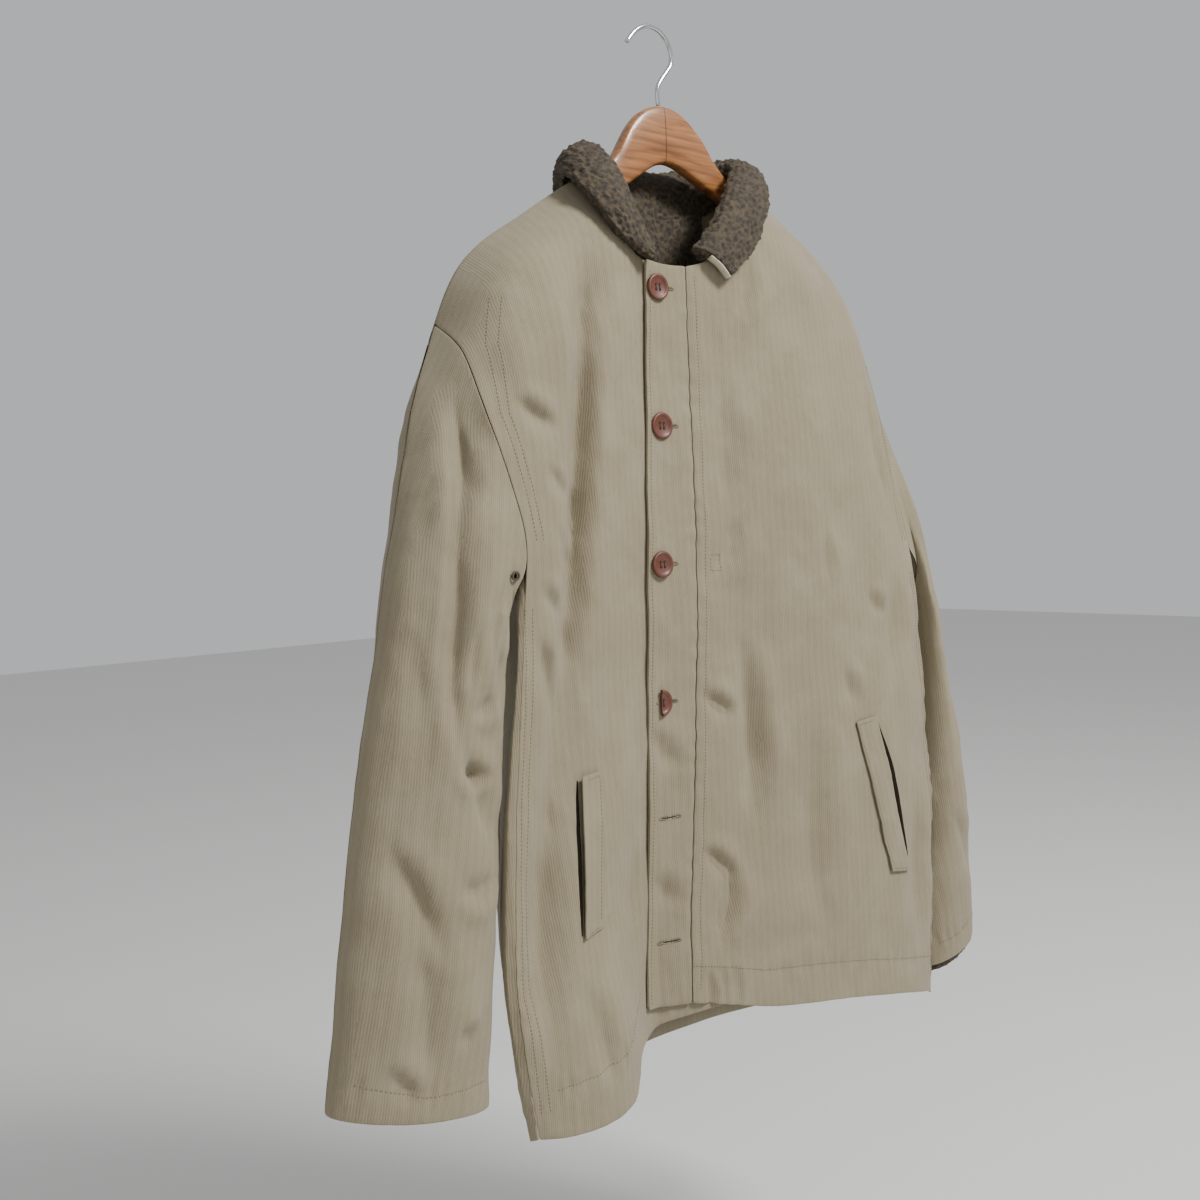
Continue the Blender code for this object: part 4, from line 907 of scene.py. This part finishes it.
def wood_material():
    material = bpy.data.materials.new("varnished hardwood")
    material.use_nodes = True
    tree = material.node_tree
    make, link = tree.nodes.new, tree.links.new
    shader = tree.nodes["Principled BSDF"]
    place = make("ShaderNodeTexCoord")
    middle = make("ShaderNodeMapping")
    middle.inputs["Location"].default_value = (-HANG, 0.0, 0.0)
    parts = make("ShaderNodeSeparateXYZ")
    out = make("ShaderNodeMath")
    out.operation = "ABSOLUTE"
    folded = make("ShaderNodeCombineXYZ")
    turned = make("ShaderNodeMapping")
    turned.inputs["Rotation"].default_value = (0.0, -ARM_SLOPE, 0.0)
    turned.inputs["Scale"].default_value = (9.0, 90.0, 120.0)
    grain = make("ShaderNodeTexNoise")
    grain.inputs["Scale"].default_value = 1.6
    grain.inputs["Detail"].default_value = 7.0
    grain.inputs["Distortion"].default_value = 0.7
    tone = make("ShaderNodeMapRange")
    tone.inputs["From Min"].default_value = 0.32
    tone.inputs["From Max"].default_value = 0.68
    wood = make("ShaderNodeMix")
    wood.data_type = "RGBA"
    wood.inputs["A"].default_value = WOOD_DARK
    wood.inputs["B"].default_value = WOOD_LIGHT
    mitre = make("ShaderNodeMath")
    mitre.operation = "LESS_THAN"
    mitre.inputs[1].default_value = 0.00045
    jointed = make("ShaderNodeMix")
    jointed.data_type = "RGBA"
    jointed.inputs["B"].default_value = (0.030, 0.012, 0.006, 1.0)
    relief = make("ShaderNodeBump")
    relief.inputs["Strength"].default_value = 0.15
    relief.inputs["Distance"].default_value = 0.0004
    shader.inputs["Roughness"].default_value = 0.36
    shader.inputs["Specular IOR Level"].default_value = 0.4
    shader.inputs["Coat Weight"].default_value = 0.25
    shader.inputs["Coat Roughness"].default_value = 0.12
    link(place.outputs["Object"], middle.inputs["Vector"])
    link(middle.outputs["Vector"], parts.inputs["Vector"])
    link(parts.outputs["X"], out.inputs[0])
    link(out.outputs["Value"], folded.inputs["X"])
    link(parts.outputs["Y"], folded.inputs["Y"])
    link(parts.outputs["Z"], folded.inputs["Z"])
    link(folded.outputs["Vector"], turned.inputs["Vector"])
    link(turned.outputs["Vector"], grain.inputs["Vector"])
    link(grain.outputs["Fac"], tone.inputs["Value"])
    link(tone.outputs["Result"], wood.inputs["Factor"])
    link(out.outputs["Value"], mitre.inputs[0])
    link(wood.outputs["Result"], jointed.inputs["A"])
    link(mitre.outputs["Value"], jointed.inputs["Factor"])
    link(jointed.outputs["Result"], shader.inputs["Base Color"])
    link(grain.outputs["Fac"], relief.inputs["Height"])
    link(relief.outputs["Normal"], shader.inputs["Normal"])
    return material


dress("hanger_arms", smooth_copy("hanger_wood", 2), wood_material(), "hanger_wood")
chrome = plain_material("chromed wire", (0.62, 0.62, 0.63, 1.0), 0.16, 1.0)
dress("hanger_wire", smooth_copy("hanger_hook", 1), chrome, "hanger_hook")


# Small trims: the pale cotton that binds the collar's end, and the worked air hole under the wearer's
# right arm with its ring of brown thread and a near-black disc of painted shade in the hole.
pale_cotton = cotton_material("pale cotton", (0.42, 0.37, 0.26, 1.0), (0.58, 0.53, 0.40, 1.0),
                              (0.62, 0.58, 0.46, 1.0), 0.1)
mesh = smooth_copy("collar_strip", 1)
lay_weave(mesh)
dress("collar_binding", mesh, pale_cotton, "collar_strip")
dress("eyelet_ring", smooth_copy("eyelet_right", 2), brown_thread, "eyelet_right")
low, high = [Vector(corner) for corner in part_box("eyelet_right")]
here, facing = on_cloth(right_sleeve, (low.x + high.x) / 2 - HANG, (low.z + high.z) / 2)
# Painted shade in the eyelet's hole: a thin near-black disc on the sleeve.
bm = bmesh.new()
bmesh.ops.create_cone(bm, cap_ends=True, segments=20, radius1=0.0026, radius2=0.0026, depth=0.0008)
bmesh.ops.transform(bm, matrix=facing_matrix(here, facing), verts=bm.verts[:])
mesh = bpy.data.meshes.new("eyelet_opening_shade")
bm.to_mesh(mesh)
bm.free()
dress("eyelet_opening_shade", mesh, dark_lining_and_painted_shade, None)


# Camera: where the photograph was taken from, a little above the chest and to the wearer's
# right, looking slightly down, with the lens as wide as its picture is far.
EYE = (-0.7342, -0.822, -0.443)
YAW, PITCH, ROLL = np.radians([38.3, 3.4, -2.4])
LENS = 36.0
ahead = Vector((math.sin(YAW) * math.cos(PITCH), math.cos(YAW) * math.cos(PITCH), -math.sin(PITCH)))
level_right = Vector((math.cos(YAW), -math.sin(YAW), 0.0))
level_up = level_right.cross(ahead)
right = level_right * math.cos(ROLL) + level_up * math.sin(ROLL)
up = level_up * math.cos(ROLL) - level_right * math.sin(ROLL)
camera_data = bpy.data.cameras.new("Camera")
camera_data.lens = LENS
camera_data.sensor_width = 36.0
camera = bpy.data.objects.new("Camera", camera_data)
camera.matrix_world = Matrix.Translation(EYE) @ Matrix((right, up, -ahead)).transposed().to_4x4()
bpy.context.collection.objects.link(camera)
bpy.context.scene.camera = camera


# Studio: a pale floor well below the hem, one large soft light high on the right, a weaker one
# on the left, and an even pale surround.
FLOOR_HEIGHT = -1.35
bm = bmesh.new()
bmesh.ops.create_grid(bm, x_segments=1, y_segments=1, size=9.0)
bmesh.ops.translate(bm, vec=(0, 0, FLOOR_HEIGHT), verts=bm.verts[:])
floor_mesh = bpy.data.meshes.new("floor")
bm.to_mesh(floor_mesh)
bm.free()
floor_paint = bpy.data.materials.new("pale floor")
floor_paint.use_nodes = True
floor_paint.node_tree.nodes["Principled BSDF"].inputs["Base Color"].default_value = (0.72, 0.71, 0.69, 1)
floor_paint.node_tree.nodes["Principled BSDF"].inputs["Roughness"].default_value = 0.8
floor_mesh.materials.append(floor_paint)
floor = bpy.data.objects.new("floor", floor_mesh)
bpy.context.collection.objects.link(floor)


def soft_light(name, place, size, power, target=(0.0, 0.0, -0.5)):
    data = bpy.data.lights.new(name, "AREA")
    data.shape = "RECTANGLE"
    data.size, data.size_y = size
    data.energy = power
    lamp = bpy.data.objects.new(name, data)
    lamp.location = place
    lamp.rotation_euler = (Vector(target) - Vector(place)).to_track_quat("-Z", "Y").to_euler()
    bpy.context.collection.objects.link(lamp)


soft_light("key", (0.85, -2.1, 1.7), (0.8, 0.8), 150)
soft_light("fill", (-2.6, -1.4, 0.2), (2.0, 2.0), 9)
world = bpy.data.worlds.new("pale surround")
world.use_nodes = True
world.node_tree.nodes["Background"].inputs["Color"].default_value = (0.86, 0.87, 0.89, 1)
world.node_tree.nodes["Background"].inputs["Strength"].default_value = 0.62
bpy.context.scene.world = world
